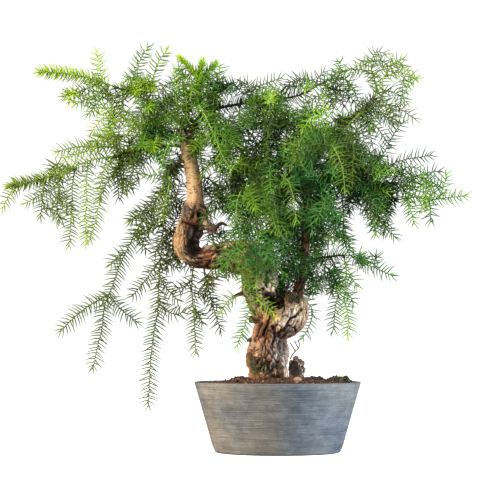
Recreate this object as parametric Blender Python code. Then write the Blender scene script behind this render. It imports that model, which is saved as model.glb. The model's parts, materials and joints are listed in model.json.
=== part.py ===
"""An araucaria bonsai in a round grey pot, built at its real size in metres, +Z up.

The origin is the middle of the pot's flat underside. +X is to the right of someone who stands in front of
the plant, and +Y points away from them. The wood is one piece. It stands in a plain hole in the soil, and
each leafy spray sits face to face on a short spur of the wood.
"""

import math
import random

import bmesh
import bpy
import numpy as np
from mathutils import Vector

MM = 0.001
TOUCHING_GAP = 0.0003
HOLE_GAP = 0.0004

POT_HEIGHT = 0.112
POT_RIM_RADIUS = 0.133
POT_BASE_RADIUS = 0.101
POT_BASE_ROUNDING = 0.005
POT_WALL = 0.004
POT_FLOOR = 0.005
POT_SIDES = 40

SOIL_SIDES = POT_SIDES // 2
SOIL_RINGS = 6
SOIL_EDGE_HEIGHT = 0.104
SOIL_CROWN = 0.012
SOIL_HEAPS = [  # x, y, rise and width
    (-0.060, -0.010, 0.006, 0.016), (0.058, 0.000, 0.006, 0.018), (0.095, -0.012, 0.009, 0.017),
    (0.030, 0.070, 0.005, 0.024)]
SOIL_RIPPLE = 0.0012

CUT_ROOT_ROUTE = [(30, -34, 96, 9), (30, -34, 118, 11), (28, -35, 134, 10), (27, -36, 147, 8.5)]
CUT_ROOT_HOLLOW = [(27.5, -35.5, 139, 3), (26.5, -36.5, 152, 6.5)]  # both with radii, in millimetres
CUT_ROOT_SIDES = 9

PEBBLE_CENTRE = Vector((0.031, -0.062, 0.1165))
PEBBLE_HALF_SIZE = Vector((0.0075, 0.0060, 0.0045))

EYE = Vector((-44.0, -3040.0, 191.0))  # where the routes below are seen from, in millimetres

NEEDLE_LENGTH = 18.0 * MM
NEEDLE_RADIUS = 0.8 * MM
NEEDLE_LEAN = math.radians(62)
NEEDLE_LEAN_AT_TIP = math.radians(28)
NEEDLE_CLEARANCE = 0.5 * MM
NEEDLE_BENDS = [math.radians(bend) for bend in (0, 18, -18, 36, -36, 52, -52)]
WHORL_STEP = 17.3 * MM
WHORL_HEIGHT = 1.7 * MM
BARE_ROOT = 6.0 * MM
BUD_LENGTH = 8.0 * MM

STEM_SIDES = 3
STEM_RADIUS = 1.5 * MM
SIDE_STEM_RADIUS = 1.3 * MM
STEM_TAPER = 0.25
STEM_STEP = 9.0 * MM
SPUR_RADIUS = 2.2 * MM

# The wood, as routes of (x, depth, z, radius) in millimetres, with the number of sides of each. The routes
# are drawn as the eye sees them on the plane of the pot's axis, and the depth then slides each point along
# its line of sight.
WOOD = {
    "trunk and shoulder": (12, [
        (-14, 0, 62, 30), (-15, 0, 92, 31), (-15, 0, 119, 31), (-16, 0, 135, 31.5), (-17, 0, 150, 34),
        (-15.5, 0, 164, 32), (-14.5, 0, 176, 29.5), (-11, 0, 190, 28.5), (-2, 0, 204, 32),
        (12, 0, 216, 33), (22, 0, 230, 30), (27, 0, 242, 24), (31, 0, 251, 17)]),
    "limb and stem": (9, [
        (-8, 2, 196, 22), (-12, 1, 212, 22), (-20, 0, 228, 23), (-26, -1, 244, 24.5), (-29, -3, 261, 28),
        (-28, -4, 279, 29.5), (-30, -5, 297, 29.5), (-40, -4, 309, 29), (-60, -1, 312, 27.5),
        (-83, 2, 313, 24), (-105, 4, 310.5, 19.5), (-124, 4, 310.5, 17.5), (-137, 3, 317, 19),
        (-145, 2, 330, 21.5), (-144.5, 1, 345, 21.5), (-138, 0, 361, 21.5), (-132.5, 0, 374, 22),
        (-133.5, 0, 385, 21), (-133, 0, 394, 16.5), (-131.5, 0, 403, 13.7), (-132, 0, 414, 13),
        (-134, 0, 434, 12.3), (-138, 0, 454, 12), (-142, 0, 474, 12.5), (-145, 0, 492, 13.5),
        (-146, 0, 507, 12)]),
    "right stem": (7, [
        (26, 4, 232, 13), (33, 4, 256, 9), (38, 3, 276, 7.5), (42, 2, 300, 7.2), (45, 0, 335, 7),
        (47, 0, 370, 7), (49, 3, 405, 6.8), (52, 5, 435, 6.5), (62, 7, 465, 6), (80, 8, 495, 5.5),
        (105, 8, 522, 5), (131, 5, 545, 4.3), (152, 1, 562, 3.6)]),
    "dead stub left of the trunk": (6, [(-18, -5, 216, 10), (-37, -8, 212, 7), (-46, -9, 211, 5)]),
    "knot stub": (6, [(-124, -5, 372, 11), (-110, -8, 360, 8), (-97, -10, 351, 3.5)]),
    "left fork": (6, [(-144, -2, 492, 9), (-153, -3, 506, 6.5), (-161, -4, 515, 4.5)]),
    "top left branch": (5, [
        (-145, 0, 498, 8), (-155, 5, 522, 6), (-175, 9, 542, 5), (-205, 10, 561, 4.2),
        (-237, 6, 576, 3.4), (-258, 2, 583, 2.8)]),
    "far left branch": (5, [
        (-144, 0, 486, 8), (-165, -8, 490, 5), (-200, -14, 486, 4.2), (-237, -19, 479, 3.5),
        (-258, -22, 474, 3)]),
    "cascade branch": (5, [
        (-140, 0, 464, 7), (-158, -10, 463, 5), (-172, -18, 450, 4.2), (-180, -23, 434, 3.4)]),
    "rear cascade branch": (5, [(-140, 0, 454, 6), (-158, 12, 456, 4.5), (-171, 18, 444, 3.4)]),
    "top right fork": (5, [
        (-144, 0, 490, 9), (-136, 2, 514, 6.5), (-125, 4, 535, 5.5), (-98, 9, 549, 4.8),
        (-58, 13, 557, 4.2), (-14, 12, 563, 3.6), (24, 9, 568, 3.2), (46, 6, 575, 2.8)]),
    "right side branch": (5, [
        (50, 4, 424, 6), (72, 0, 438, 4.8), (100, -4, 438, 4.2), (132, -7, 428, 3.8),
        (162, -8, 414, 3.3), (188, -8, 405, 2.8)]),
    "low right branch": (5, [(43, 1, 300, 6), (62, -3, 308, 4), (85, -6, 312, 3.4), (106, -9, 314, 2.8)]),
    "front branch": (5, [
        (47, 0, 380, 6), (30, -18, 402, 4.5), (2, -36, 418, 4), (-28, -48, 424, 3.4),
        (-52, -54, 420, 2.8)]),
    "rear branch": (5, [(48, 3, 400, 6), (44, 30, 425, 4.4), (38, 62, 440, 3.8), (34, 92, 440, 3)]),
    "upper front branch": (5, [
        (66, 7, 470, 6), (72, -22, 486, 4.2), (78, -52, 494, 3.6), (84, -80, 492, 3)]),
    "upper rear branch": (5, [(101, 8, 518, 5.5), (104, 38, 530, 4), (106, 68, 534, 3.2)]),
}

# The leafy shoots, as routes of (x, depth, z) in millimetres, drawn in the same way. The first route of a
# spray is its main shoot, which starts on the wood, and the others are side shoots that leave the main
# shoot at the point nearest to their first one.
SPRAYS = {
    "spray_top_left_1": [
        [(-265, 0, 586), (-290, -1, 591), (-333, -5, 598), (-387, -8, 607)],
        [(-280, 0, 589), (-286, 6, 612), (-290, 9, 641)],
        [(-283, 0, 590), (-312, 12, 579), (-344, 17, 569)],
        [(-273, 0, 588), (-290, -20, 573), (-325, -34, 556)],
        [(-270, 0, 587), (-286, -12, 562), (-304, -18, 540)]],
    "spray_top_left_2": [[(-236, 15, 588), (-229, 22, 606), (-219, 27, 630), (-208, 30, 648)]],
    "spray_top_left_3": [[(-203, 0, 573), (-200, -10, 598), (-190, -15, 626), (-178, -18, 642)]],
    "spray_top_left_4": [
        [(-242, 17, 568), (-261, 30, 553), (-282, 40, 533), (-299, 46, 511)],
        [(-261, 30, 553), (-262, 38, 528), (-270, 42, 508), (-286, 46, 481)]],
    "spray_top_left_5": [[(-181, -4, 531), (-200, -18, 524), (-228, -24, 526), (-258, -26, 530)]],
    "spray_top_left_6": [[(-196, 22, 548), (-212, 36, 524), (-232, 44, 500), (-242, 48, 478)]],
    "spray_far_left_1": [
        [(-265, -23, 472), (-300, -25, 466), (-346, -22, 447), (-373, -20, 438), (-400, -18, 430),
         (-430, -16, 425)],
        [(-412, -17, 428), (-428, -18, 412), (-440, -20, 390)],
        [(-338, -22, 451), (-352, -8, 430), (-375, 0, 414), (-403, 5, 397)],
        [(-350, -22, 446), (-351, -34, 420), (-353, -38, 392), (-349, -40, 367)],
        [(-322, -24, 457), (-328, -28, 430), (-329, -30, 400), (-331, -30, 362), (-334, -30, 329)],
        [(-372, -20, 438), (-376, -28, 410), (-379, -30, 375)],
        [(-300, -25, 466), (-306, -36, 440), (-306, -42, 410), (-307, -44, 378), (-306, -44, 334)]],
    "spray_far_left_2": [
        [(-263, -33, 468), (-279, -50, 448), (-284, -56, 420), (-286, -58, 394), (-291, -58, 370),
         (-301, -56, 338)]],
    "spray_far_left_3": [[(-252, -10, 467), (-257, 2, 450), (-256, 8, 432), (-254, 12, 406)]],
    "spray_far_left_4": [[(-236, -31, 470), (-232, -40, 450), (-236, -45, 434), (-242, -48, 414)]],
    "spray_far_left_5": [[(-203, -4, 477), (-211, 6, 465), (-221, 12, 450), (-226, 14, 434)]],
    "spray_far_left_6": [
        [(-245, -32, 484), (-285, -42, 489), (-325, -46, 487), (-354, -48, 479)],
        [(-285, -42, 489), (-310, -58, 480), (-341, -62, 470)],
        [(-256, -35, 486), (-270, -46, 500), (-292, -54, 507)]],
    "spray_cascade_1": [
        [(-182, -27, 426), (-192, -32, 405), (-205, -36, 385), (-221, -39, 361), (-237, -41, 330),
         (-250, -41, 303), (-258, -41, 282), (-266, -41, 258), (-276, -39, 234), (-280, -37, 198),
         (-287, -35, 170), (-294, -34, 133)],
        [(-206, -36, 383), (-222, -48, 378), (-237, -54, 369)],
        [(-243, -41, 318), (-255, -50, 312), (-267, -54, 299)],
        [(-268, -41, 252), (-286, -44, 242), (-303, -46, 232), (-325, -46, 214), (-346, -46, 194)],
        [(-268, -41, 252), (-258, -32, 236), (-245, -28, 223), (-224, -26, 207)]],
    "spray_cascade_2": [
        [(-174, 20, 436), (-180, 20, 405), (-184, 18, 370), (-189, 14, 330), (-192, 12, 298),
         (-194, 10, 266), (-194, 8, 226), (-198, 6, 186), (-203, 4, 138), (-206, 2, 74)],
        [(-176, 20, 424), (-190, 34, 408), (-212, 42, 388), (-236, 50, 370)],
        [(-191, 13, 312), (-178, 8, 302), (-160, 4, 294)],
        [(-193, 11, 280), (-178, 4, 262), (-160, 0, 242)],
        [(-194, 9, 248), (-184, -2, 231), (-167, -8, 220), (-149, -12, 223)],
        [(-191, 13, 306), (-200, 22, 290), (-213, 28, 271), (-232, 32, 249)]],
    "spray_cascade_3": [
        [(-173, -31, 440), (-174, -43, 424), (-179, -50, 402), (-184, -54, 376)],
        [(-173, -38, 432), (-190, -50, 442), (-212, -58, 442)]],
    "spray_loop_1": [
        [(-136, -6, 289), (-137, -9, 258), (-134, -11, 226), (-132, -12, 190), (-131, -12, 158)],
        [(-137, -8, 274), (-149, -18, 264), (-166, -24, 257)]],
    "spray_loop_2": [
        [(-117, 5, 284), (-111, 8, 262), (-102, 10, 228), (-91, 11, 194)],
        [(-115, 6, 280), (-112, 20, 266), (-118, 30, 250)]],
    "spray_trunk_left": [[(-62, -14, 249), (-74, -19, 245), (-83, -22, 236), (-90, -24, 222)]],
    "spray_trunk_front": [[(-34, -32, 246), (-29, -45, 240), (-14, -52, 229), (-3, -54, 216)]],
    "spray_trunk_rear": [[(47, 29, 238), (56, 40, 226), (52, 48, 204), (40, 52, 181)]],
    "spray_apex_1": [
        [(-128, -4, 549), (-126, -9, 578), (-128, -11, 600), (-140, -13, 614), (-157, -15, 632)],
        [(-126, -9, 582), (-114, -5, 604), (-99, -3, 623)],
        [(-128, -11, 598), (-123, -14, 612), (-120, -16, 627)]],
    "spray_apex_2": [[(-160, -8, 532), (-161, -22, 552), (-165, -28, 580), (-166, -30, 607)]],
    "spray_apex_3": [
        [(-126, -12, 543), (-126, -34, 555), (-115, -50, 536), (-100, -58, 503), (-88, -62, 473),
         (-75, -64, 452)]],
    "spray_top_1": [[(-94, 17, 558), (-100, 26, 572), (-110, 30, 584), (-122, 33, 594)]],
    "spray_top_2": [[(-58, 15, 567), (-46, 12, 580), (-20, 9, 589), (6, 8, 599)]],
    "spray_top_3": [
        [(54, 2, 580), (75, -4, 592), (97, -10, 599), (113, -13, 594), (124, -16, 574), (134, -18, 552)],
        [(58, 1, 583), (64, 8, 596), (74, 12, 609)]],
    "spray_top_4": [
        [(6, -1, 573), (8, -16, 566), (8, -26, 546), (14, -30, 527), (19, -32, 508)],
        [(8, -26, 546), (30, -32, 533), (50, -34, 510), (60, -34, 482)]],
    "spray_top_5": [[(-26, 2, 557), (-22, -12, 548), (-20, -22, 530), (-20, -28, 500)]],
    "spray_top_6": [[(-60, 2, 550), (-62, -14, 538), (-58, -26, 518), (-50, -34, 492), (-44, -38, 466)]],
    "spray_top_7": [
        [(-16, 24, 559), (-18, 44, 548), (-20, 66, 524), (-16, 84, 490)],
        [(-18, 44, 548), (10, 50, 542), (38, 52, 524), (58, 50, 496)],
        [(-18, 50, 543), (-44, 54, 530), (-62, 54, 506), (-68, 52, 474)]],
    "spray_stem_right_1": [[(-118, 12, 439), (-104, 26, 432), (-92, 36, 412), (-84, 40, 386)]],
    "spray_stem_right_2": [[(-105, 13, 385), (-88, 15, 391), (-68, 16, 395)]],
    "spray_stem_rear": [[(-144, 17, 472), (-150, 40, 477), (-158, 68, 462), (-166, 92, 428)]],
    "spray_stem_front": [[(-149, -19, 498), (-160, -44, 503), (-176, -68, 489), (-186, -82, 456)]],
    "spray_centre_1": [
        [(-59, -56, 416), (-65, -61, 396), (-64, -65, 367), (-54, -67, 320), (-48, -67, 287),
         (-45, -66, 262), (-43, -65, 240), (-49, -63, 213), (-64, -61, 169)],
        [(-64, -65, 367), (-74, -70, 346), (-84, -70, 318), (-90, -66, 290)],
        [(-56, -66, 332), (-38, -76, 334), (-20, -80, 326), (-6, -80, 306)],
        [(-48, -67, 292), (-32, -74, 294), (-18, -74, 284), (-8, -72, 266)]],
    "spray_centre_2": [
        [(50, -8, 441), (50, -28, 438), (50, -42, 415), (51, -48, 383), (56, -50, 350)],
        [(50, -28, 438), (28, -44, 456), (4, -48, 464), (-20, -46, 452)]],
    "spray_centre_3": [
        [(3, -45, 423), (10, -70, 435), (18, -98, 431), (26, -120, 404), (30, -130, 370)],
        [(6, -56, 429), (-6, -70, 420), (-5, -78, 396), (-1, -80, 372), (3, -81, 350)]],
    "spray_centre_4": [
        [(56, 18, 457), (58, 40, 468), (54, 60, 466), (46, 78, 448), (40, 86, 420)],
        [(57, 34, 466), (76, 46, 482), (90, 54, 484), (106, 60, 472)],
        [(57, 34, 466), (36, 42, 484), (12, 46, 490), (-12, 48, 480), (-26, 50, 456)]],
    "spray_right_top_1": [
        [(157, 0, 570), (158, 0, 588), (151, 0, 612), (152, 0, 630), (160, 0, 641), (174, 0, 637)],
        [(153, 0, 605), (134, 6, 612), (112, 10, 611)]],
    "spray_right_top_2": [
        [(160, -8, 567), (168, -15, 594), (185, -18, 619), (203, -20, 630)],
        [(170, -15, 598), (194, -13, 608), (225, -12, 597)]],
    "spray_right_top_3": [[(155, 12, 568), (172, 20, 578), (190, 24, 574), (207, 27, 560)]],
    "spray_right_top_4": [
        [(137, -7, 544), (156, -20, 552), (187, -27, 554), (220, -30, 533)],
        [(180, -26, 555), (186, -36, 541), (184, -42, 524)],
        [(142, -12, 546), (126, -28, 536), (108, -34, 514), (98, -34, 482)]],
    "spray_right_mid_1": [
        [(135, 4, 437), (152, 8, 454), (168, 9, 474), (180, 7, 496), (190, 5, 514), (203, 3, 529)]],
    "spray_right_mid_2": [
        [(150, -17, 427), (166, -24, 446), (184, -27, 460), (208, -27, 468), (246, -27, 474)]],
    "spray_right_mid_3": [[(177, 2, 413), (198, 15, 425), (219, 22, 435), (243, 26, 446), (261, 28, 449)]],
    "spray_right_tip": [
        [(195, -8, 403), (221, -6, 407), (246, -8, 403), (272, -8, 406), (301, -8, 409)],
        [(256, -8, 404), (265, -2, 420), (271, 2, 443)],
        [(238, -8, 404), (244, -18, 392), (245, -22, 368)],
        [(206, -8, 404), (212, 4, 390), (219, 9, 365)]],
    "spray_right_hanging": [
        [(133, -17, 420), (146, -36, 396), (160, -44, 374), (176, -47, 358), (188, -49, 343)],
        [(152, -40, 386), (156, -52, 366), (157, -57, 346)]],
    "spray_low_right_1": [
        [(101, -14, 430), (104, -24, 402), (106, -24, 370), (107, -22, 341), (115, -20, 316),
         (131, -19, 303), (155, -18, 294), (184, -18, 281)]],
    "spray_low_right_2": [
        [(107, -13, 307), (110, -24, 290), (108, -30, 266), (107, -32, 242), (113, -33, 215),
         (111, -34, 186)],
        [(109, -25, 286), (119, -32, 278), (126, -34, 264)],
        [(107, -31, 256), (117, -38, 247), (121, -40, 237)]],
    "spray_low_right_3": [[(86, 3, 307), (96, 9, 288), (100, 12, 262), (93, 14, 234), (89, 14, 194)]],
    "spray_low_rear": [[(47, 11, 338), (50, 38, 346), (58, 68, 334), (64, 92, 304)]],
    "spray_right_rear": [
        [(110, 6, 441), (128, 32, 447), (148, 58, 438), (162, 78, 410)],
        [(122, 24, 446), (122, 38, 468), (116, 44, 490), (102, 48, 506)]],
    "spray_rear": [
        [(33, 98, 439), (36, 122, 425), (44, 142, 397), (50, 152, 362)],
        [(33, 102, 437), (12, 110, 438), (-14, 112, 426), (-34, 110, 398)]],
    "spray_upper_front": [
        [(86, -86, 491), (94, -108, 480), (104, -124, 453), (108, -132, 420)],
        [(88, -90, 489), (110, -84, 494), (138, -80, 482), (156, -80, 453)],
        [(87, -92, 489), (62, -88, 492), (38, -84, 480), (20, -80, 456)]],
    "spray_upper_rear": [
        [(107, 75, 534), (112, 98, 527), (120, 118, 503), (124, 128, 470)],
        [(108, 80, 532), (130, 78, 534), (160, 72, 518), (180, 68, 488)],
        [(108, 82, 531), (84, 84, 526), (60, 82, 506), (46, 78, 474)]],
}

COLOURS = {
    "pot": ((0.24, 0.26, 0.28), 0.55, 0.0),
    "soil": ((0.035, 0.022, 0.014), 0.95, 0.0),
    "trunk": ((0.24, 0.15, 0.10), 0.85, 0.0),
    "cut_root": ((0.20, 0.12, 0.08), 0.85, 0.0),
    "pebble": ((0.55, 0.50, 0.44), 0.7, 0.0),
    "foliage": ((0.06, 0.19, 0.03), 0.6, 0.0),
}


def material(name):
    """The plain Principled material of one sub-part."""
    colour, roughness, metallic = COLOURS[name]
    made = bpy.data.materials.get(name) or bpy.data.materials.new(name)
    made.use_nodes = True
    shader = made.node_tree.nodes["Principled BSDF"]
    shader.inputs["Base Color"].default_value = (*colour, 1.0)
    shader.inputs["Roughness"].default_value = roughness
    shader.inputs["Metallic"].default_value = metallic
    return made


def make_object(name, bm, colour=None):
    """An object from a bmesh, with its faces facing out."""
    bmesh.ops.recalc_face_normals(bm, faces=bm.faces)
    mesh = bpy.data.meshes.new(name)
    bm.to_mesh(mesh)
    bm.free()
    made = bpy.data.objects.new(name, mesh)
    bpy.context.scene.collection.objects.link(made)
    if colour:
        mesh.materials.append(material(colour))
    return made


def bake_modifiers(thing):
    """Keep what the modifiers make as the object's own mesh."""
    bpy.context.view_layer.update()
    evaluated = thing.evaluated_get(bpy.context.evaluated_depsgraph_get())
    mesh = bpy.data.meshes.new_from_object(evaluated)
    thing.modifiers.clear()
    thing.data = mesh


def combine(thing, others, operation="UNION"):
    """Join closed pieces to a thing, or cut them out of it, in one Boolean, and remove them."""
    group = bpy.data.collections.new(thing.name + " others")
    bpy.context.scene.collection.children.link(group)
    for other in others:
        bpy.context.scene.collection.objects.unlink(other)
        group.objects.link(other)
    boolean = thing.modifiers.new("combine", "BOOLEAN")
    boolean.operation = operation
    boolean.operand_type = "COLLECTION"
    boolean.collection = group
    boolean.solver = "MANIFOLD"
    bake_modifiers(thing)
    for other in list(group.objects):
        bpy.data.objects.remove(other)
    bpy.data.collections.remove(group)


def in_space(x, depth, z):
    """The place of a point that the eye sees at (x, z) on the axis plane, with its depth behind that."""
    seen = Vector((x, 0.0, z))
    reach = (depth - EYE.y) / (seen.y - EYE.y)
    return (EYE + (seen - EYE) * reach) * MM


def smooth_route(points, step):
    """A Catmull-Rom curve through the points, with a new point about every step."""
    ends = [points[0] * 2 - points[1], *points, points[-1] * 2 - points[-2]]
    route = [points[0]]
    for a, b, c, d in zip(ends, ends[1:], ends[2:], ends[3:]):
        count = max(1, round((c - b).length / step))
        for k in range(1, count + 1):
            t = k / count
            route.append(
                0.5 * (2 * b + (c - a) * t + (2 * a - 5 * b + 4 * c - d) * t**2
                       + (3 * b - a - 3 * c + d) * t**3))
    return route


def route_length(route):
    return sum((b - a).length for a, b in zip(route, route[1:]))


def point_along(route, distance):
    """The point at a distance along a route, and the direction there."""
    for a, b in zip(route, route[1:]):
        run = (b - a).length
        if distance <= run:
            break
        distance -= run
    direction = (b - a).normalized()
    return a + direction * min(distance, run), direction


def nearest_on(route, point):
    """The point of a route that lies nearest to a given one."""
    best = None
    for a, b in zip(route, route[1:]):
        run = b - a
        share = max(0.0, min(1.0, (point - a).dot(run) / run.length_squared))
        candidate = a + run * share
        if best is None or (candidate - point).length < (best - point).length:
            best = candidate
    return best


def tube(name, route, radii, sides, relief=None, colour=None, end_direction=None):
    """A closed tube along a route, with its last face square to the end direction, if there is one.

    The relief swells the tube by angle and by distance from its start.
    """
    bm = bmesh.new()
    rings = []
    side = (route[1] - route[0]).orthogonal().normalized()
    distance = 0.0
    for i, centre in enumerate(route):
        before = route[max(i - 1, 0)]
        after = route[min(i + 1, len(route) - 1)]
        distance += (centre - before).length
        tangent = (after - before).normalized()
        if end_direction and i == len(route) - 1:
            tangent = end_direction
        side = (side - tangent * side.dot(tangent)).normalized()
        up = tangent.cross(side)
        ring = []
        for k in range(sides):
            angle = 2 * math.pi * k / sides
            reach = radii[i] * (1 + relief(angle, distance)) if relief else radii[i]
            ring.append(bm.verts.new(centre + (side * math.cos(angle) + up * math.sin(angle)) * reach))
        rings.append(ring)
    for lower, upper in zip(rings, rings[1:]):
        for k in range(sides):
            after = (k + 1) % sides
            bm.faces.new((lower[k], lower[after], upper[after]))
            bm.faces.new((lower[k], upper[after], upper[k]))
    bm.faces.new(reversed(rings[0]))
    bm.faces.new(rings[-1])
    return make_object(name, bm, colour)


def turned(name, profile, sides, colour=None):
    """A closed body turned round the Z axis from a closed outline of (radius, height)."""
    bm = bmesh.new()
    rings = []
    for radius, height in profile:
        if radius == 0:
            rings.append([bm.verts.new((0, 0, height))] * sides)
            continue
        rings.append([
            bm.verts.new((radius * math.cos(2 * math.pi * k / sides),
                          radius * math.sin(2 * math.pi * k / sides), height))
            for k in range(sides)])
    for lower, upper in zip(rings, rings[1:]):
        for k in range(sides):
            after = (k + 1) % sides
            corners = dict.fromkeys((lower[k], lower[after], upper[after], upper[k]))
            bm.faces.new(list(corners))
    return make_object(name, bm, colour)


def pot_outer_radius(height):
    return POT_BASE_RADIUS + (POT_RIM_RADIUS - POT_BASE_RADIUS) * height / POT_HEIGHT


def make_pot():
    """The tapered pot: a rounded foot, straight sides and a thin rim, open at the top."""
    foot = []
    for k in range(4):
        angle = math.pi / 2 * k / 3
        foot.append((
            POT_BASE_RADIUS - POT_BASE_ROUNDING * (1 - math.sin(angle)),
            POT_BASE_ROUNDING * (1 - math.cos(angle))))
    profile = [
        (0, 0), *foot, (POT_RIM_RADIUS, POT_HEIGHT), (POT_RIM_RADIUS - POT_WALL, POT_HEIGHT),
        (pot_outer_radius(POT_FLOOR) - POT_WALL, POT_FLOOR), (0, POT_FLOOR)]
    return turned("pot", profile, POT_SIDES, "pot")


def soil_height(x, y):
    """The soil's surface: a low crown round the trunk, with four heaps."""
    share = min(1.0, math.hypot(x, y) / POT_RIM_RADIUS)
    height = SOIL_EDGE_HEIGHT + SOIL_CROWN * (1 - share**2)
    for at_x, at_y, rise, width in SOIL_HEAPS:
        height += rise * math.exp(-((x - at_x) ** 2 + (y - at_y) ** 2) / width**2)
    return height + SOIL_RIPPLE * math.sin(x * 190 + 1.3) * math.cos(y * 170)


def make_soil():
    """The filling of the pot, from its floor to a mounded top, with a thin gap to the pot."""
    bm = bmesh.new()
    bottom = POT_FLOOR + TOUCHING_GAP
    inset = POT_WALL + TOUCHING_GAP * 1.2
    lower_radius = pot_outer_radius(bottom) - inset
    upper_radius = pot_outer_radius(SOIL_EDGE_HEIGHT) - inset
    rings = []
    for k in range(SOIL_RINGS + 1):
        rings.append((upper_radius * k / SOIL_RINGS, None))
    rings.append((lower_radius, bottom))
    rings.append((0, bottom))
    made = []
    for radius, height in rings:
        if radius == 0:
            made.append([bm.verts.new((0, 0, height or soil_height(0, 0)))] * SOIL_SIDES)
            continue
        ring = []
        for k in range(SOIL_SIDES):
            x = radius * math.cos(2 * math.pi * k / SOIL_SIDES)
            y = radius * math.sin(2 * math.pi * k / SOIL_SIDES)
            level = soil_height(x, y) if radius < upper_radius else SOIL_EDGE_HEIGHT
            ring.append(bm.verts.new((x, y, height or level)))
        made.append(ring)
    for inner, outer in zip(made, made[1:]):
        for k in range(SOIL_SIDES):
            after = (k + 1) % SOIL_SIDES
            bm.faces.new(list(dict.fromkeys((inner[k], inner[after], outer[after], outer[k]))))
    return make_object("soil", bm, "soil")


def bark_relief(angle, distance):
    """Ridges that wind slowly round the trunk, and a few swellings along it."""
    ridges = 0.06 * math.sin(3 * angle + distance * 28) + 0.045 * math.sin(5 * angle - distance * 41 + 1)
    return ridges + 0.04 * math.sin(distance * 95 + 2 * angle)


def wood_tube(name, extra=0.0):
    """One member of the wood, grown outwards by the extra radius where it cuts its own hole."""
    sides, points = WOOD[name]
    route = [in_space(*point[:3]) for point in points]
    radii = [point[3] * MM + extra for point in points]
    relief = bark_relief if sides > 6 else None
    return tube(name, route, radii, sides, relief)


def make_trunk(spurs):
    """The wood as one body: trunk, limb, stems, stubs, branches, and a spur under each spray."""
    members = [wood_tube(name) for name in WOOD]
    trunk = members[0]
    combine(trunk, members[1:] + spurs)
    trunk.name = "trunk"
    trunk.data.materials.clear()
    trunk.data.materials.append(material("trunk"))
    return trunk


def small_tube(name, points, extra=0.0):
    """A short tube through a few (x, y, z, radius) in millimetres, grown outwards by the extra radius."""
    route = [Vector(point[:3]) * MM for point in points]
    return tube(name, route, [point[3] * MM + extra for point in points], CUT_ROOT_SIDES, colour="cut_root")


def make_cut_root():
    """A short stub of cut root, leaning a little, with a hollow in its sawn end."""
    stub = small_tube("cut_root", CUT_ROOT_ROUTE)
    combine(stub, [small_tube("hollow", CUT_ROOT_HOLLOW)], "DIFFERENCE")


def make_pebble(name="pebble", extra=0.0):
    """A small pale stone, bedded in the soil."""
    bm = bmesh.new()
    bmesh.ops.create_icosphere(bm, subdivisions=1, radius=1.0)
    half_size = PEBBLE_HALF_SIZE + Vector((extra, extra, extra))
    for vert in bm.verts:
        vert.co = PEBBLE_CENTRE + vert.co * half_size
    return make_object(name, bm, "pebble")


def plan_shoots():
    """For each spray, the smooth route of its main shoot and of each side shoot, in metres."""
    plans = {}
    for name, routes in SPRAYS.items():
        shoots = []
        for route in routes:
            points = [in_space(*point) for point in route]
            if shoots:
                points[0] = nearest_on(shoots[0], points[0])
            shoots.append(smooth_route(points, STEM_STEP))
        plans[name] = shoots
    return plans


def plan_spurs(plans):
    """For each spray, its seat: where the spur leaves the wood's axis, where it ends, and which way.

    A spur leaves the wood a little behind the nearest place, so that it runs the way its shoot does.
    """
    wood = [[in_space(*point[:3]) for point in points] for sides, points in WOOD.values()]
    spurs = {}
    for name, shoots in plans.items():
        seat = shoots[0][0]
        direction = (shoots[0][1] - seat).normalized()
        carrier = min(wood, key=lambda route: (nearest_on(route, seat) - seat).length)
        reach = (nearest_on(carrier, seat) - seat).length
        spurs[name] = (nearest_on(carrier, seat - direction * reach), seat, direction)
    return spurs


def spur_tube(axis, seat, direction):
    """A short spur of wood whose end is square to the shoot that it carries."""
    return tube("spur", [axis, seat], [SPUR_RADIUS] * 2, STEM_SIDES, end_direction=direction)


class Clearances:
    """The straight runs of everything placed so far, each with its radius and its owner."""

    def __init__(self):
        self.starts = []
        self.ends = []
        self.radii = []
        self.owners = []

    def add(self, start, end, radius, owner):
        self.starts.append(tuple(start))
        self.ends.append(tuple(end))
        self.radii.append(radius)
        self.owners.append(owner)

    def room(self, start, end, radius, own):
        """The least free space between a new run and every run that isn't its own."""
        others = np.array([owner not in own for owner in self.owners])
        starts = np.array(self.starts)[others]
        runs = np.array(self.ends)[others] - starts
        radii = np.array(self.radii)[others]
        origin = np.array(start)
        run = np.array(end) - origin
        between = origin - starts
        a = run @ run
        e = np.maximum((runs * runs).sum(1), 1e-12)
        b = runs @ run
        c = between @ run
        f = (runs * between).sum(1)
        along = np.clip((b * f - c * e) / np.maximum(a * e - b * b, 1e-15), 0, 1)
        across = np.clip((b * along + f) / e, 0, 1)
        along = np.clip((b * across - c) / a, 0, 1)
        gaps = np.linalg.norm(between + run * along[:, None] - runs * across[:, None], axis=1)
        return (gaps - radii).min() - radius


def frames_at(route, distances):
    """The centre, direction, side and up at distances along a route, with as little twist as can be."""
    side = (route[1] - route[0]).orthogonal().normalized()
    frames = []
    for distance in distances:
        centre, direction = point_along(route, distance)
        side = (side - direction * side.dot(direction)).normalized()
        frames.append((centre, direction, side, direction.cross(side)))
    return frames


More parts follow.
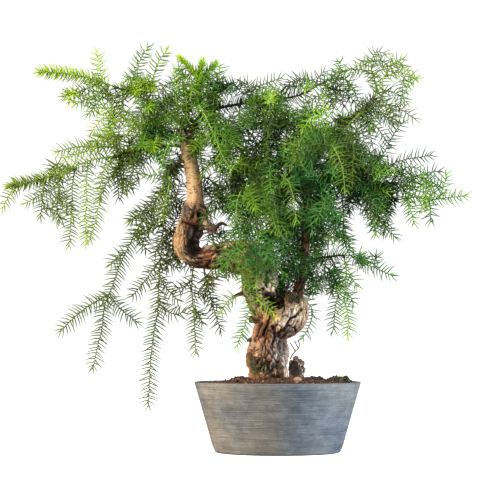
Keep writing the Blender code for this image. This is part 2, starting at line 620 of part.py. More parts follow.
def needle_tips(frame, turn, near_tip, chance, clearances, name):
    """The tips of one whorl's needles, each bent clear of what is there already, or None where it can't be.

    Near the end of a shoot the needles are shorter and lean forward.
    """
    centre, direction, side, up = frame
    lean = NEEDLE_LEAN + (NEEDLE_LEAN_AT_TIP - NEEDLE_LEAN) * near_tip**2
    whorl = f"{name} whorl {len(clearances.owners)}"
    tips = []
    for face in range(STEM_SIDES):
        reach = NEEDLE_LENGTH * (1 - 0.35 * near_tip) * chance.uniform(0.92, 1.05)
        middle = turn + 2 * math.pi * (face + 0.5) / STEM_SIDES + chance.uniform(-0.15, 0.15)
        found = None
        for bend in NEEDLE_BENDS:
            outward = side * math.cos(middle + bend) + up * math.sin(middle + bend)
            tip = centre + (direction * math.cos(lean) + outward * math.sin(lean)) * reach
            root = centre + (tip - centre) * 0.15
            if clearances.room(root, tip, NEEDLE_RADIUS, (name, whorl)) > NEEDLE_CLEARANCE:
                found = tip
                clearances.add(root, tip, NEEDLE_RADIUS, whorl)
                break
        tips.append(found)
    return tips


def leafy_shoot(name, route, radius, chance, clearances):
    """A slim stem along a route, with whorls of needles drawn out of its faces, as one closed body.

    Each whorl is turned half a side from the last, so that the needles are even all round.
    """
    length = route_length(route)
    count = max(2, round((length - BARE_ROOT) / WHORL_STEP) + 1)
    spacing = (length - BARE_ROOT - WHORL_HEIGHT) / (count - 1)
    distances = [0.0] + [BARE_ROOT + spacing * k for k in range(count)]
    half_turn = math.pi / STEM_SIDES
    turn = chance.uniform(0, math.pi)
    bm = bmesh.new()

    def ring(centre, side, up, reach):
        angles = [turn + 2 * half_turn * k for k in range(STEM_SIDES)]
        return [bm.verts.new(centre + (side * math.cos(a) + up * math.sin(a)) * reach) for a in angles]

    frames = frames_at(route, distances)
    centre, direction, side, up = frames[0]
    last = ring(centre, side, up, radius)
    bm.faces.new(reversed(last))
    for k, frame in enumerate(frames[1:]):
        centre, direction, side, up = frame
        turn += half_turn
        share = distances[k + 1] / length
        reach = radius * (1 - STEM_TAPER * share)
        lower = ring(centre - direction * WHORL_HEIGHT / 2, side, up, reach)
        upper = ring(centre + direction * WHORL_HEIGHT / 2, side, up, reach)
        tips = needle_tips(frame, turn, max(0.0, (share - 0.7) / 0.3), chance, clearances, name)
        for face in range(STEM_SIDES):
            after = (face + 1) % STEM_SIDES
            bm.faces.new((last[face], last[after], lower[face]))
            bm.faces.new((last[after], lower[after], lower[face]))
            corners = (lower[face], lower[after], upper[after], upper[face])
            if tips[face] is None:
                bm.faces.new(corners)
                continue
            tip = bm.verts.new(tips[face])
            for corner, following in zip(corners, corners[1:] + corners[:1]):
                bm.faces.new((corner, following, tip))
        last = upper
    bud = bm.verts.new(centre + direction * BUD_LENGTH)
    for face in range(STEM_SIDES):
        bm.faces.new((last[face], last[(face + 1) % STEM_SIDES], bud))
    return make_object(name, bm, "foliage")


def make_spray(name, shoots, clearances):
    """One spray: its main shoot, a thin gap off its spur, joined with its side shoots."""
    chance = random.Random(name)
    main_route = [point.copy() for point in shoots[0]]
    main_route[0] += (main_route[1] - main_route[0]).normalized() * TOUCHING_GAP
    spray = leafy_shoot(name, main_route, STEM_RADIUS, chance, clearances)
    side_shoots = [leafy_shoot(name, route, SIDE_STEM_RADIUS, chance, clearances) for route in shoots[1:]]
    if side_shoots:
        combine(spray, side_shoots)
    return spray


def main():
    for old in list(bpy.data.objects):
        bpy.data.objects.remove(old)
    plans = plan_shoots()
    spurs = plan_spurs(plans)
    clearances = Clearances()
    for name, (sides, points) in WOOD.items():
        route = [in_space(*point[:3]) for point in points]
        for a, b, point in zip(route, route[1:], points):
            clearances.add(a, b, point[3] * 1.1 * MM, "wood")
    for axis, seat, direction in spurs.values():
        clearances.add(axis, seat - direction * 3 * MM, SPUR_RADIUS, "wood")
    for name, shoots in plans.items():
        for route in shoots:
            for a, b in zip(route, route[1:]):
                clearances.add(a, b, STEM_RADIUS, name)

    make_pot()
    soil = make_soil()
    make_trunk([spur_tube(*spur) for spur in spurs.values()])
    make_cut_root()
    make_pebble()
    combine(soil, [
        wood_tube("trunk and shoulder", HOLE_GAP), small_tube("root hole", CUT_ROOT_ROUTE, HOLE_GAP),
        make_pebble("pebble bed", HOLE_GAP)], "DIFFERENCE")
    for name, shoots in plans.items():
        make_spray(name, shoots, clearances)


main()
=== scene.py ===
# %% [markdown]
# # An old araucaria bonsai in a grey pot
#
# The real plant is a bent old trunk with a rough, peeling bark, and hanging shoots with thousands of thin,
# slightly curved needles. It stands in a smooth grey pot. The solids of the model give the place of every
# piece. This lesson gives each of them its real surface.
#
# Everything is in metres, with +Z up and the origin under the middle of the pot. First the solids come in.

import json
import math
import random

import bmesh
import bpy
import numpy as np
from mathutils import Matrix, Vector, noise

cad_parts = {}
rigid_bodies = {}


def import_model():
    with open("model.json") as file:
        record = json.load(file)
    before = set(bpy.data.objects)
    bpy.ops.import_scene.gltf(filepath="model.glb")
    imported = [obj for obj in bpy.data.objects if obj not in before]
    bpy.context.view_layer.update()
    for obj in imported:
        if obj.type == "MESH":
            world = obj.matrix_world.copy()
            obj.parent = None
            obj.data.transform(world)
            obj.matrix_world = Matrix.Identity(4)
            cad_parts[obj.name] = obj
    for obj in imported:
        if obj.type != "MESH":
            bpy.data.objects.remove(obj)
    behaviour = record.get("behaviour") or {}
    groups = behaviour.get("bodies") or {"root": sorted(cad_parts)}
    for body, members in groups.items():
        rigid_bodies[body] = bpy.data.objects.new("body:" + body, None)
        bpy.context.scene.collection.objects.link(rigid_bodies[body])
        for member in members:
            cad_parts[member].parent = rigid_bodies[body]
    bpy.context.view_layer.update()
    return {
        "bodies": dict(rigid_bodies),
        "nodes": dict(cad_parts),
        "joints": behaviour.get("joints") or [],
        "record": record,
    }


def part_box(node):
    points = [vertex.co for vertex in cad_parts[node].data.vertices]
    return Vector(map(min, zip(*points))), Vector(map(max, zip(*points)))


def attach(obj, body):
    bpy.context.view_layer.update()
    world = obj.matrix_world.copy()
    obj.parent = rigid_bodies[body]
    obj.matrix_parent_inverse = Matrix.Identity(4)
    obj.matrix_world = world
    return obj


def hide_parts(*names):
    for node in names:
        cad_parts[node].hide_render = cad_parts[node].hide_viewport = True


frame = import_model()
MM = 0.001
print("solids:", len(frame["nodes"]))

# %% [markdown]
# ## The camera
#
# The photograph was taken from a little above the pot's rim with a long lens, and it looks slightly up.
# A long lens flattens the plant, which is why the rim of the pot is almost a straight line.

# %% Place the camera
EYE = Vector((-44.0, -3040.0, 191.0))  # millimetres
LENS = 137.0            # millimetres, on Blender's usual sensor
HORIZON, MIDDLE = 332, 250  # the rows of the 500 in the picture where the eye's level and the middle lie
LENS_IN_ROWS = 1900     # how far the picture would stand from the eye, measured in its own rows
PITCH = math.atan((HORIZON - MIDDLE) / LENS_IN_ROWS)

camera = bpy.data.objects.new("camera", bpy.data.cameras.new("camera"))
bpy.context.scene.collection.objects.link(camera)
camera.location = EYE * MM
camera.rotation_euler = (math.pi / 2 + PITCH, 0, 0)
camera.data.lens = LENS
camera.data.clip_end = 100
bpy.context.scene.camera = camera
print("camera at", tuple(round(c, 3) for c in camera.location))

# %% [markdown]
# ## Floor and light
#
# A plain white floor and a white surround stand for the studio. A warm lamp on the left and a cool one on the
# right light the sides of the pot and leave its middle darker, as in the photograph, and a soft sun above
# picks out the upper needles. All of them are large, so the shadows are soft. The camera sees the floor and
# the surround brighter than the light that they throw back, so that the studio is white while the inside of
# the crown stays dark.

# %% Build the studio
def add_node(tree, kind, inputs=(), out=0, **settings):
    """Add one node, set its inputs by name or number, and return one of its outputs."""
    made = tree.nodes.new(kind)
    for key, value in settings.items():
        setattr(made, key, value)
    for key, value in dict(inputs).items():
        if isinstance(value, bpy.types.NodeSocket):
            tree.links.new(value, made.inputs[key])
        else:
            made.inputs[key].default_value = value
    return made.outputs[out] if made.outputs else made


def new_object(name, data):
    """An object for a mesh or a light, at the origin."""
    made = bpy.data.objects.new(name, data)
    bpy.context.scene.collection.objects.link(made)
    return made


def mesh_from(bm, name, smooth=False):
    """End an edit and keep it as a mesh."""
    mesh = bpy.data.meshes.new(name)
    bm.to_mesh(mesh)
    bm.free()
    if smooth:
        mesh.shade_smooth()
    return mesh


def lamp(name, place, target, size, power, colour):
    """A square lamp that shines from a place towards a target."""
    light = bpy.data.lights.new(name, "AREA")
    light.size, light.energy, light.color = size, power, colour
    made = new_object(name, light)
    made.location = place
    made.rotation_euler = (Vector(target) - Vector(place)).to_track_quat("-Z", "Y").to_euler()


FLOOR_SIZE = 30.0
FLOOR_LIT, FLOOR_SEEN = 0.26, 0.9  # how pale the floor is to the lamps and to the eye
FLOOR_GLOW = 0.72
SKY_LIT, SKY_SEEN = 0.13, 1.1
SUN_POWER, SUN_WIDTH, SUN_TILT = 2.6, 12, (28, -22)  # the last two in degrees

bm = bmesh.new()
bmesh.ops.create_circle(bm, cap_ends=True, segments=64, radius=FLOOR_SIZE)
floor = new_object("floor", mesh_from(bm, "floor"))
floor_paint = bpy.data.materials.new("floor white")
floor_paint.use_nodes = True
floor_tree = floor_paint.node_tree
floor_shader = floor_tree.nodes["Principled BSDF"]
floor_shader.inputs["Roughness"].default_value = 0.9
floor_shader.inputs["Emission Color"].default_value = (1, 1, 1, 1)
seen = add_node(floor_tree, "ShaderNodeLightPath")
paleness = add_node(floor_tree, "ShaderNodeMix", {
    0: seen, 6: (*[FLOOR_LIT] * 3, 1), 7: (*[FLOOR_SEEN] * 3, 1)}, out=2, data_type="RGBA")
floor_tree.links.new(paleness, floor_shader.inputs["Base Color"])
glow = add_node(floor_tree, "ShaderNodeMath", {0: seen, 1: FLOOR_GLOW}, operation="MULTIPLY")
floor_tree.links.new(glow, floor_shader.inputs["Emission Strength"])
floor.data.materials.append(floor_paint)

lamp("warm lamp, left", (-2.4, -0.9, 0.95), (-0.05, 0, 0.25), 0.8, 146, (1.0, 0.78, 0.56))
lamp("cool lamp, right", (2.4, -0.7, 0.6), (0, 0, 0.2), 0.9, 134, (0.80, 0.90, 1.0))
sun = bpy.data.lights.new("soft sun", "SUN")
sun.energy, sun.angle = SUN_POWER, math.radians(SUN_WIDTH)
new_object("soft sun", sun).rotation_euler = (*(math.radians(angle) for angle in SUN_TILT), 0)

world = bpy.data.worlds.new("studio")
bpy.context.scene.world = world
world.use_nodes = True
world.node_tree.nodes.clear()
seen = add_node(world.node_tree, "ShaderNodeLightPath")
strength = add_node(world.node_tree, "ShaderNodeMapRange", {
    "Value": seen, "To Min": SKY_LIT, "To Max": SKY_SEEN})
sky = add_node(world.node_tree, "ShaderNodeBackground", {"Color": (1, 1, 1, 1), "Strength": strength})
add_node(world.node_tree, "ShaderNodeOutputWorld", {"Surface": sky})
bpy.context.scene.view_settings.view_transform = "Standard"
print("lights:", ", ".join(light.name for light in bpy.data.lights))

# %% [markdown]
# ## The routes of the wood and the shoots
#
# Each member of the wood and each shoot follows a route, drawn as the camera sees it on the plane of the
# pot's axis, with a depth behind that plane: (x, depth, z). The wood's routes have a radius too. All are in
# millimetres. They are the same routes as in the solids, so each finished piece stays where its solid is.

# %% List the routes of the wood
WOOD = {
    "trunk and shoulder": [
        (-14, 0, 62, 30), (-15, 0, 92, 31), (-15, 0, 119, 31), (-16, 0, 135, 31.5), (-17, 0, 150, 34),
        (-15.5, 0, 164, 32), (-14.5, 0, 176, 29.5), (-11, 0, 190, 28.5), (-2, 0, 204, 32),
        (12, 0, 216, 33), (22, 0, 230, 30), (27, 0, 242, 24), (31, 0, 251, 17)],
    "limb and stem": [
        (-8, 2, 196, 22), (-12, 1, 212, 22), (-20, 0, 228, 23), (-26, -1, 244, 24.5), (-29, -3, 261, 28),
        (-28, -4, 279, 29.5), (-30, -5, 297, 29.5), (-40, -4, 309, 29), (-60, -1, 312, 27.5),
        (-83, 2, 313, 24), (-105, 4, 310.5, 19.5), (-124, 4, 310.5, 17.5), (-137, 3, 317, 19),
        (-145, 2, 330, 21.5), (-144.5, 1, 345, 21.5), (-138, 0, 361, 21.5), (-132.5, 0, 374, 22),
        (-133.5, 0, 385, 21), (-133, 0, 394, 16.5), (-131.5, 0, 403, 13.7), (-132, 0, 414, 13),
        (-134, 0, 434, 12.3), (-138, 0, 454, 12), (-142, 0, 474, 12.5), (-145, 0, 492, 13.5),
        (-146, 0, 507, 12)],
    "right stem": [
        (26, 4, 232, 13), (33, 4, 256, 9), (38, 3, 276, 7.5), (42, 2, 300, 7.2), (45, 0, 335, 7),
        (47, 0, 370, 7), (49, 3, 405, 6.8), (52, 5, 435, 6.5), (62, 7, 465, 6), (80, 8, 495, 5.5),
        (105, 8, 522, 5), (131, 5, 545, 4.3), (152, 1, 562, 3.6)],
    "dead stub left of the trunk": [(-18, -5, 216, 10), (-37, -8, 212, 7), (-46, -9, 211, 5)],
    "knot stub": [(-124, -5, 372, 11), (-110, -8, 360, 8), (-97, -10, 351, 3.5)],
    "left fork": [(-144, -2, 492, 9), (-153, -3, 506, 6.5), (-161, -4, 515, 4.5)],
    "top left branch": [
        (-145, 0, 498, 8), (-155, 5, 522, 6), (-175, 9, 542, 5), (-205, 10, 561, 4.2),
        (-237, 6, 576, 3.4), (-258, 2, 583, 2.8)],
    "far left branch": [
        (-144, 0, 486, 8), (-165, -8, 490, 5), (-200, -14, 486, 4.2), (-237, -19, 479, 3.5),
        (-258, -22, 474, 3)],
    "cascade branch": [
        (-140, 0, 464, 7), (-158, -10, 463, 5), (-172, -18, 450, 4.2), (-180, -23, 434, 3.4)],
    "rear cascade branch": [(-140, 0, 454, 6), (-158, 12, 456, 4.5), (-171, 18, 444, 3.4)],
    "top right fork": [
        (-144, 0, 490, 9), (-136, 2, 514, 6.5), (-125, 4, 535, 5.5), (-98, 9, 549, 4.8),
        (-58, 13, 557, 4.2), (-14, 12, 563, 3.6), (24, 9, 568, 3.2), (46, 6, 575, 2.8)],
    "right side branch": [
        (50, 4, 424, 6), (72, 0, 438, 4.8), (100, -4, 438, 4.2), (132, -7, 428, 3.8),
        (162, -8, 414, 3.3), (188, -8, 405, 2.8)],
    "low right branch": [(43, 1, 300, 6), (62, -3, 308, 4), (85, -6, 312, 3.4), (106, -9, 314, 2.8)],
    "front branch": [
        (47, 0, 380, 6), (30, -18, 402, 4.5), (2, -36, 418, 4), (-28, -48, 424, 3.4),
        (-52, -54, 420, 2.8)],
    "rear branch": [(48, 3, 400, 6), (44, 30, 425, 4.4), (38, 62, 440, 3.8), (34, 92, 440, 3)],
    "upper front branch": [(66, 7, 470, 6), (72, -22, 486, 4.2), (78, -52, 494, 3.6), (84, -80, 492, 3)],
    "upper rear branch": [(101, 8, 518, 5.5), (104, 38, 530, 4), (106, 68, 534, 3.2)],
}
print("members of the wood:", len(WOOD))

# %% [markdown]
# The first route of each spray is its main shoot, which starts on the wood. The others are side shoots, and
# they leave the main shoot at the point nearest to their first one.

# %% List the routes of the leafy shoots
SPRAYS = {
    "top_left_1": [
        [(-265, 0, 586), (-290, -1, 595), (-333, -5, 605), (-383, -8, 609)],
        [(-280, 0, 589), (-286, 6, 612), (-290, 9, 641)],
        [(-283, 0, 590), (-312, 12, 579), (-344, 17, 569)],
        [(-273, 0, 588), (-290, -20, 573), (-325, -34, 556)],
        [(-270, 0, 587), (-286, -12, 562), (-304, -18, 540)]],
    "top_left_2": [[(-236, 15, 588), (-229, 22, 606), (-219, 27, 630), (-208, 30, 648)]],
    "top_left_3": [[(-203, 0, 573), (-200, -10, 598), (-190, -15, 626), (-178, -18, 642)]],
    "top_left_4": [
        [(-242, 17, 568), (-261, 30, 553), (-282, 40, 533), (-299, 46, 511)],
        [(-261, 30, 553), (-262, 38, 528), (-270, 42, 508), (-286, 46, 481)]],
    "top_left_5": [[(-181, -4, 531), (-200, -18, 524), (-228, -24, 526), (-258, -26, 530)]],
    "top_left_6": [[(-196, 22, 548), (-212, 36, 524), (-232, 44, 500), (-242, 48, 478)]],
    "far_left_1": [
        [(-265, -23, 472), (-300, -25, 466), (-346, -22, 447), (-373, -20, 438), (-400, -18, 430),
         (-430, -16, 425)],
        [(-412, -17, 428), (-428, -18, 412), (-440, -20, 390)],
        [(-338, -22, 451), (-352, -8, 430), (-375, 0, 414), (-403, 5, 397)],
        [(-350, -22, 446), (-351, -34, 420), (-353, -38, 392), (-349, -40, 367)],
        [(-322, -24, 457), (-328, -28, 430), (-329, -30, 400), (-331, -30, 362), (-334, -30, 329)],
        [(-372, -20, 438), (-376, -28, 410), (-379, -30, 375)],
        [(-300, -25, 466), (-306, -36, 440), (-306, -42, 410), (-307, -44, 378), (-306, -44, 334)]],
    "far_left_2": [
        [(-263, -33, 468), (-279, -50, 448), (-284, -56, 420), (-286, -58, 394), (-291, -58, 370),
         (-301, -56, 338)]],
    "far_left_3": [[(-252, -10, 467), (-257, 2, 450), (-256, 8, 432), (-254, 12, 406)]],
    "far_left_4": [[(-236, -31, 470), (-232, -40, 450), (-236, -45, 434), (-242, -48, 414)]],
    "far_left_5": [[(-203, -4, 477), (-211, 6, 465), (-221, 12, 450), (-226, 14, 434)]],
    "far_left_6": [
        [(-245, -32, 484), (-285, -42, 489), (-325, -46, 487), (-354, -48, 479)],
        [(-285, -42, 489), (-310, -58, 480), (-341, -62, 470)],
        [(-256, -35, 486), (-270, -46, 500), (-292, -54, 507)]],
    "cascade_1": [
        [(-182, -27, 426), (-192, -32, 405), (-205, -36, 385), (-221, -39, 361), (-237, -41, 330),
         (-250, -41, 303), (-258, -41, 282), (-266, -41, 258), (-276, -39, 234), (-280, -37, 198),
         (-287, -35, 170), (-294, -34, 133)],
        [(-206, -36, 383), (-222, -48, 378), (-237, -54, 369)],
        [(-243, -41, 318), (-255, -50, 312), (-267, -54, 299)],
        [(-268, -41, 252), (-286, -44, 242), (-303, -46, 232), (-325, -46, 214), (-346, -46, 194)],
        [(-268, -41, 252), (-258, -32, 236), (-245, -28, 223), (-224, -26, 207)]],
    "cascade_2": [
        [(-174, 20, 436), (-180, 20, 405), (-182, 18, 370), (-185, 14, 330), (-188, 12, 298),
         (-190, 10, 266), (-191, 8, 226), (-198, 6, 186), (-203, 4, 138), (-206, 2, 74)],
        [(-176, 20, 424), (-190, 34, 408), (-212, 42, 388), (-236, 50, 370)],
        [(-191, 13, 312), (-178, 8, 302), (-160, 4, 294)],
        [(-193, 11, 280), (-178, 4, 262), (-160, 0, 242)],
        [(-194, 9, 248), (-184, -2, 231), (-167, -8, 220), (-149, -12, 223)],
        [(-191, 13, 306), (-200, 22, 290), (-213, 28, 271), (-232, 32, 249)]],
    "cascade_3": [
        [(-173, -31, 440), (-174, -43, 424), (-179, -50, 402), (-184, -54, 376)],
        [(-173, -38, 432), (-190, -50, 442), (-212, -58, 442)]],
    "loop_1": [
        [(-136, -6, 289), (-137, -9, 258), (-134, -11, 226), (-132, -12, 190), (-131, -12, 158)],
        [(-137, -8, 274), (-149, -18, 264), (-166, -24, 257)]],
    "loop_2": [
        [(-117, 5, 284), (-111, 8, 262), (-102, 10, 228), (-91, 11, 194)],
        [(-115, 6, 280), (-112, 20, 266), (-118, 30, 250)]],
    "trunk_left": [[(-62, -14, 249), (-74, -19, 245), (-83, -22, 236), (-90, -24, 222)]],
    "trunk_front": [[(-34, -32, 246), (-29, -45, 240), (-14, -52, 229), (-3, -54, 216)]],
    "trunk_rear": [[(47, 29, 238), (56, 40, 226), (52, 48, 204), (40, 52, 181)]],
    "apex_1": [
        [(-128, -4, 549), (-126, -9, 578), (-128, -11, 600), (-140, -13, 614), (-157, -15, 632)],
        [(-126, -9, 582), (-114, -5, 604), (-99, -3, 623)],
        [(-128, -11, 598), (-123, -14, 612), (-120, -16, 627)]],
    "apex_2": [[(-160, -8, 532), (-161, -22, 552), (-165, -28, 580), (-166, -30, 607)]],
    "apex_3": [
        [(-126, -12, 543), (-126, -34, 555), (-115, -50, 536), (-100, -58, 503), (-88, -62, 473),
         (-75, -64, 452)]],
    "top_1": [[(-94, 17, 558), (-100, 26, 572), (-110, 30, 584), (-122, 33, 594)]],
    "top_2": [[(-58, 15, 567), (-46, 12, 580), (-20, 9, 589), (6, 8, 599)]],
    "top_3": [
        [(54, 2, 580), (75, -4, 592), (97, -10, 599), (113, -13, 594), (124, -16, 574), (134, -18, 552)],
        [(58, 1, 583), (64, 8, 596), (74, 12, 609)]],
    "top_4": [
        [(6, -1, 573), (8, -16, 566), (8, -26, 546), (14, -30, 527), (19, -32, 508)],
        [(8, -26, 546), (30, -32, 533), (50, -34, 510), (60, -34, 482)]],
    "top_5": [[(-26, 2, 557), (-22, -12, 548), (-20, -22, 530), (-20, -28, 500)]],
    "top_6": [[(-60, 2, 550), (-62, -14, 538), (-58, -26, 518), (-50, -34, 492), (-44, -38, 466)]],
    "top_7": [
        [(-16, 24, 559), (-18, 44, 548), (-20, 66, 524), (-16, 84, 490)],
        [(-18, 44, 548), (10, 50, 542), (38, 52, 524), (58, 50, 496)],
        [(-18, 50, 543), (-44, 54, 530), (-62, 54, 506), (-68, 52, 474)]],
    "stem_right_1": [[(-118, 12, 439), (-104, 26, 432), (-92, 36, 412), (-84, 40, 386)]],
    "stem_right_2": [[(-105, 13, 385), (-88, 15, 391), (-68, 16, 395)]],
    "stem_rear": [[(-144, 17, 472), (-150, 40, 477), (-158, 68, 462), (-166, 92, 428)]],
    "stem_front": [[(-149, -19, 498), (-160, -44, 503), (-176, -68, 489), (-186, -82, 456)]],
    "centre_1": [
        [(-59, -56, 416), (-65, -61, 396), (-64, -65, 367), (-54, -67, 320), (-48, -67, 287),
         (-45, -66, 262), (-43, -65, 240), (-49, -63, 213), (-64, -61, 169)],
        [(-64, -65, 367), (-74, -70, 346), (-84, -70, 318), (-90, -66, 290)],
        [(-56, -66, 332), (-38, -76, 334), (-20, -80, 326), (-6, -80, 306)],
        [(-48, -67, 292), (-32, -74, 294), (-18, -74, 284), (-8, -72, 266)]],
    "centre_2": [
        [(50, -8, 441), (50, -28, 438), (50, -42, 415), (51, -48, 383), (56, -50, 350)],
        [(50, -28, 438), (28, -44, 456), (4, -48, 464), (-20, -46, 452)]],
    "centre_3": [
        [(3, -45, 423), (10, -70, 435), (18, -98, 431), (26, -120, 404), (30, -130, 370)],
        [(6, -56, 429), (-6, -70, 420), (-5, -78, 396), (-1, -80, 372), (3, -81, 350)]],
    "centre_4": [
        [(56, 18, 457), (58, 40, 468), (54, 60, 466), (46, 78, 448), (40, 86, 420)],
        [(57, 34, 466), (76, 46, 482), (90, 54, 484), (106, 60, 472)],
        [(57, 34, 466), (36, 42, 484), (12, 46, 490), (-12, 48, 480), (-26, 50, 456)]],
    "right_top_1": [
        [(157, 0, 570), (158, 0, 588), (151, 0, 612), (152, 0, 630), (160, 0, 641), (174, 0, 637)],
        [(153, 0, 605), (134, 6, 612), (112, 10, 611)]],
    "right_top_2": [
        [(160, -8, 567), (168, -15, 594), (185, -18, 619), (203, -20, 630)],
        [(170, -15, 598), (194, -13, 608), (225, -12, 597)]],
    "right_top_3": [[(155, 12, 568), (172, 20, 578), (190, 24, 574), (207, 27, 560)]],
    "right_top_4": [
        [(137, -7, 544), (156, -20, 552), (187, -27, 554), (220, -30, 533)],
        [(180, -26, 555), (186, -36, 541), (184, -42, 524)],
        [(142, -12, 546), (126, -28, 536), (108, -34, 514), (98, -34, 482)]],
    "right_mid_1": [
        [(135, 4, 437), (152, 8, 454), (168, 9, 474), (180, 7, 496), (190, 5, 514), (203, 3, 529)]],
    "right_mid_2": [[(150, -17, 427), (166, -24, 446), (184, -27, 460), (208, -27, 468), (246, -27, 474)]],
    "right_mid_3": [[(177, 2, 413), (198, 15, 425), (219, 22, 435), (243, 26, 446), (261, 28, 449)]],
    "right_tip": [
        [(195, -8, 403), (221, -6, 407), (246, -8, 403), (272, -8, 406), (301, -8, 409)],
        [(256, -8, 404), (265, -2, 420), (271, 2, 443)],
        [(238, -8, 404), (244, -18, 392), (245, -22, 368)],
        [(206, -8, 404), (212, 4, 390), (219, 9, 365)]],
    "right_hanging": [
        [(133, -17, 420), (146, -36, 396), (160, -44, 374), (176, -47, 358), (188, -49, 343)],
        [(152, -40, 386), (156, -52, 366), (157, -57, 346)]],
    "low_right_1": [
        [(101, -14, 430), (104, -24, 402), (106, -24, 370), (107, -22, 341), (115, -20, 316),
         (131, -19, 303), (155, -18, 294), (184, -18, 281)]],
    "low_right_2": [
        [(107, -13, 307), (110, -24, 290), (108, -30, 266), (107, -32, 242), (113, -33, 215),
         (111, -34, 186)],
        [(109, -25, 286), (119, -32, 278), (126, -34, 264)],
        [(107, -31, 256), (117, -38, 247), (121, -40, 237)]],
    "low_right_3": [[(86, 3, 307), (96, 9, 288), (100, 12, 262), (93, 14, 234), (89, 14, 194)]],
    "low_rear": [[(47, 11, 338), (50, 38, 346), (58, 68, 334), (64, 92, 304)]],
    "right_rear": [
        [(110, 6, 441), (128, 32, 447), (148, 58, 438), (162, 78, 410)],
        [(122, 24, 446), (122, 38, 468), (116, 44, 490), (102, 48, 506)]],
    "rear": [
        [(33, 98, 439), (36, 122, 425), (44, 142, 397), (50, 152, 362)],
        [(33, 102, 437), (12, 110, 438), (-14, 112, 426), (-34, 110, 398)]],
    "upper_front": [
        [(86, -86, 491), (94, -108, 480), (104, -124, 453), (108, -132, 420)],
        [(88, -90, 489), (110, -84, 494), (138, -80, 482), (156, -80, 453)],
        [(87, -92, 489), (62, -88, 492), (38, -84, 480), (20, -80, 456)]],
    "upper_rear": [
        [(107, 75, 534), (112, 98, 527), (120, 118, 503), (124, 128, 470)],
        [(108, 80, 532), (130, 78, 534), (160, 72, 518), (180, 68, 488)],
        [(108, 82, 531), (84, 84, 526), (60, 82, 506), (46, 78, 474)]],
}
print("sprays:", len(SPRAYS), "shoots:", sum(len(routes) for routes in SPRAYS.values()))

# %% [markdown]
# ## From a drawn route to a curve in space
#
# A route has few points. A Catmull-Rom curve passes through all of them without corners, so a shoot bends
# as softly as a real one.

# %% Turn routes into smooth curves
STEM_STEP = 6 * MM


def in_space(x, depth, z):
    """The place, in metres, of a point that the eye sees at (x, z) on the axis plane."""
    seen_at = Vector((x, 0.0, z))
    reach = (depth - EYE.y) / (seen_at.y - EYE.y)
    return (EYE + (seen_at - EYE) * reach) * MM


def with_radius(points):
    """The places of a list of (x, depth, z, radius), as four numbers each, in metres."""
    return [Vector((*in_space(*p[:3]), p[3] * MM)) for p in points]


def as_seen(points):
    """The (x, z), in millimetres, at which the eye sees each point of an array on the axis plane."""
    points = points / MM
    reach = -EYE.y / (points[:, 1] - EYE.y)
    return EYE.x + (points[:, 0] - EYE.x) * reach, EYE.z + (points[:, 2] - EYE.z) * reach


def smooth_route(points, step):
    """A curve through the points that has no corners, with a new point about every step."""
    ends = [points[0] * 2 - points[1], *points, points[-1] * 2 - points[-2]]
    route = [points[0]]
    for a, b, c, d in zip(ends, ends[1:], ends[2:], ends[3:]):
        count = max(1, round((c - b).length / step))
        for k in range(1, count + 1):
            t = k / count
            route.append(
                0.5 * (2 * b + (c - a) * t + (2 * a - 5 * b + 4 * c - d) * t**2
                       + (3 * b - a - 3 * c + d) * t**3))
    return route


def nearest_on(route, point):
    """The point of a route that lies nearest to a given one."""
    best = None
    for a, b in zip(route, route[1:]):
        run = b - a
        share = max(0.0, min(1.0, (point - a).dot(run) / run.length_squared))
        candidate = a + run * share
        if best is None or (candidate - point).length < (best - point).length:
            best = candidate
    return best


def route_length(route):
    return sum((b - a).length for a, b in zip(route, route[1:]))


limb = smooth_route([in_space(*p[:3]) for p in WOOD["limb and stem"]], STEM_STEP)
print("length of the limb and stem:", round(route_length(limb), 2), "m")

# %% Turn the drawn shoots into curves
DRAWN_STEM, GROWN_STEM = 1.15 * MM, 0.8 * MM  # the radius of a shoot's stem at its root

shoots = []  # for each: its spray, route and radius, how bright its tips are, and if it is the main one
for spray, routes in SPRAYS.items():
    main_route = None
    for points in routes:
        points = [in_space(*point) for point in points]
        if main_route:
            points[0] = nearest_on(main_route, points[0])
        route = smooth_route(points, STEM_STEP)
        shoots.append({"spray": spray, "route": route, "thick": DRAWN_STEM, "tips": 1.0,
                       "main": main_route is None})
        main_route = main_route or route
print("drawn shoots:", round(sum(route_length(s["route"]) for s in shoots), 2), "m")

# %% [markdown]
# ## Small side shoots that fill the crown
#
# The crown of the real plant is full of small side shoots, far too many to draw. A simple growth rule makes
# them. It picks a spot in the crown, and if the spot is empty, the nearest shoot or twig grows a new shoot
# towards it. New shoots can carry others, so the crown fills up as a real one does. Its outer shoots are
# drawn, so the rule works only inside the clouds that are listed here: seen from the camera, each has a
# centre, a half size and a number of tries.
#
# The wall shows through the crown in many places, so nothing grows across the gaps in the second list. The
# third list keeps the bare wood in sight: there only what stands behind the wood may grow.

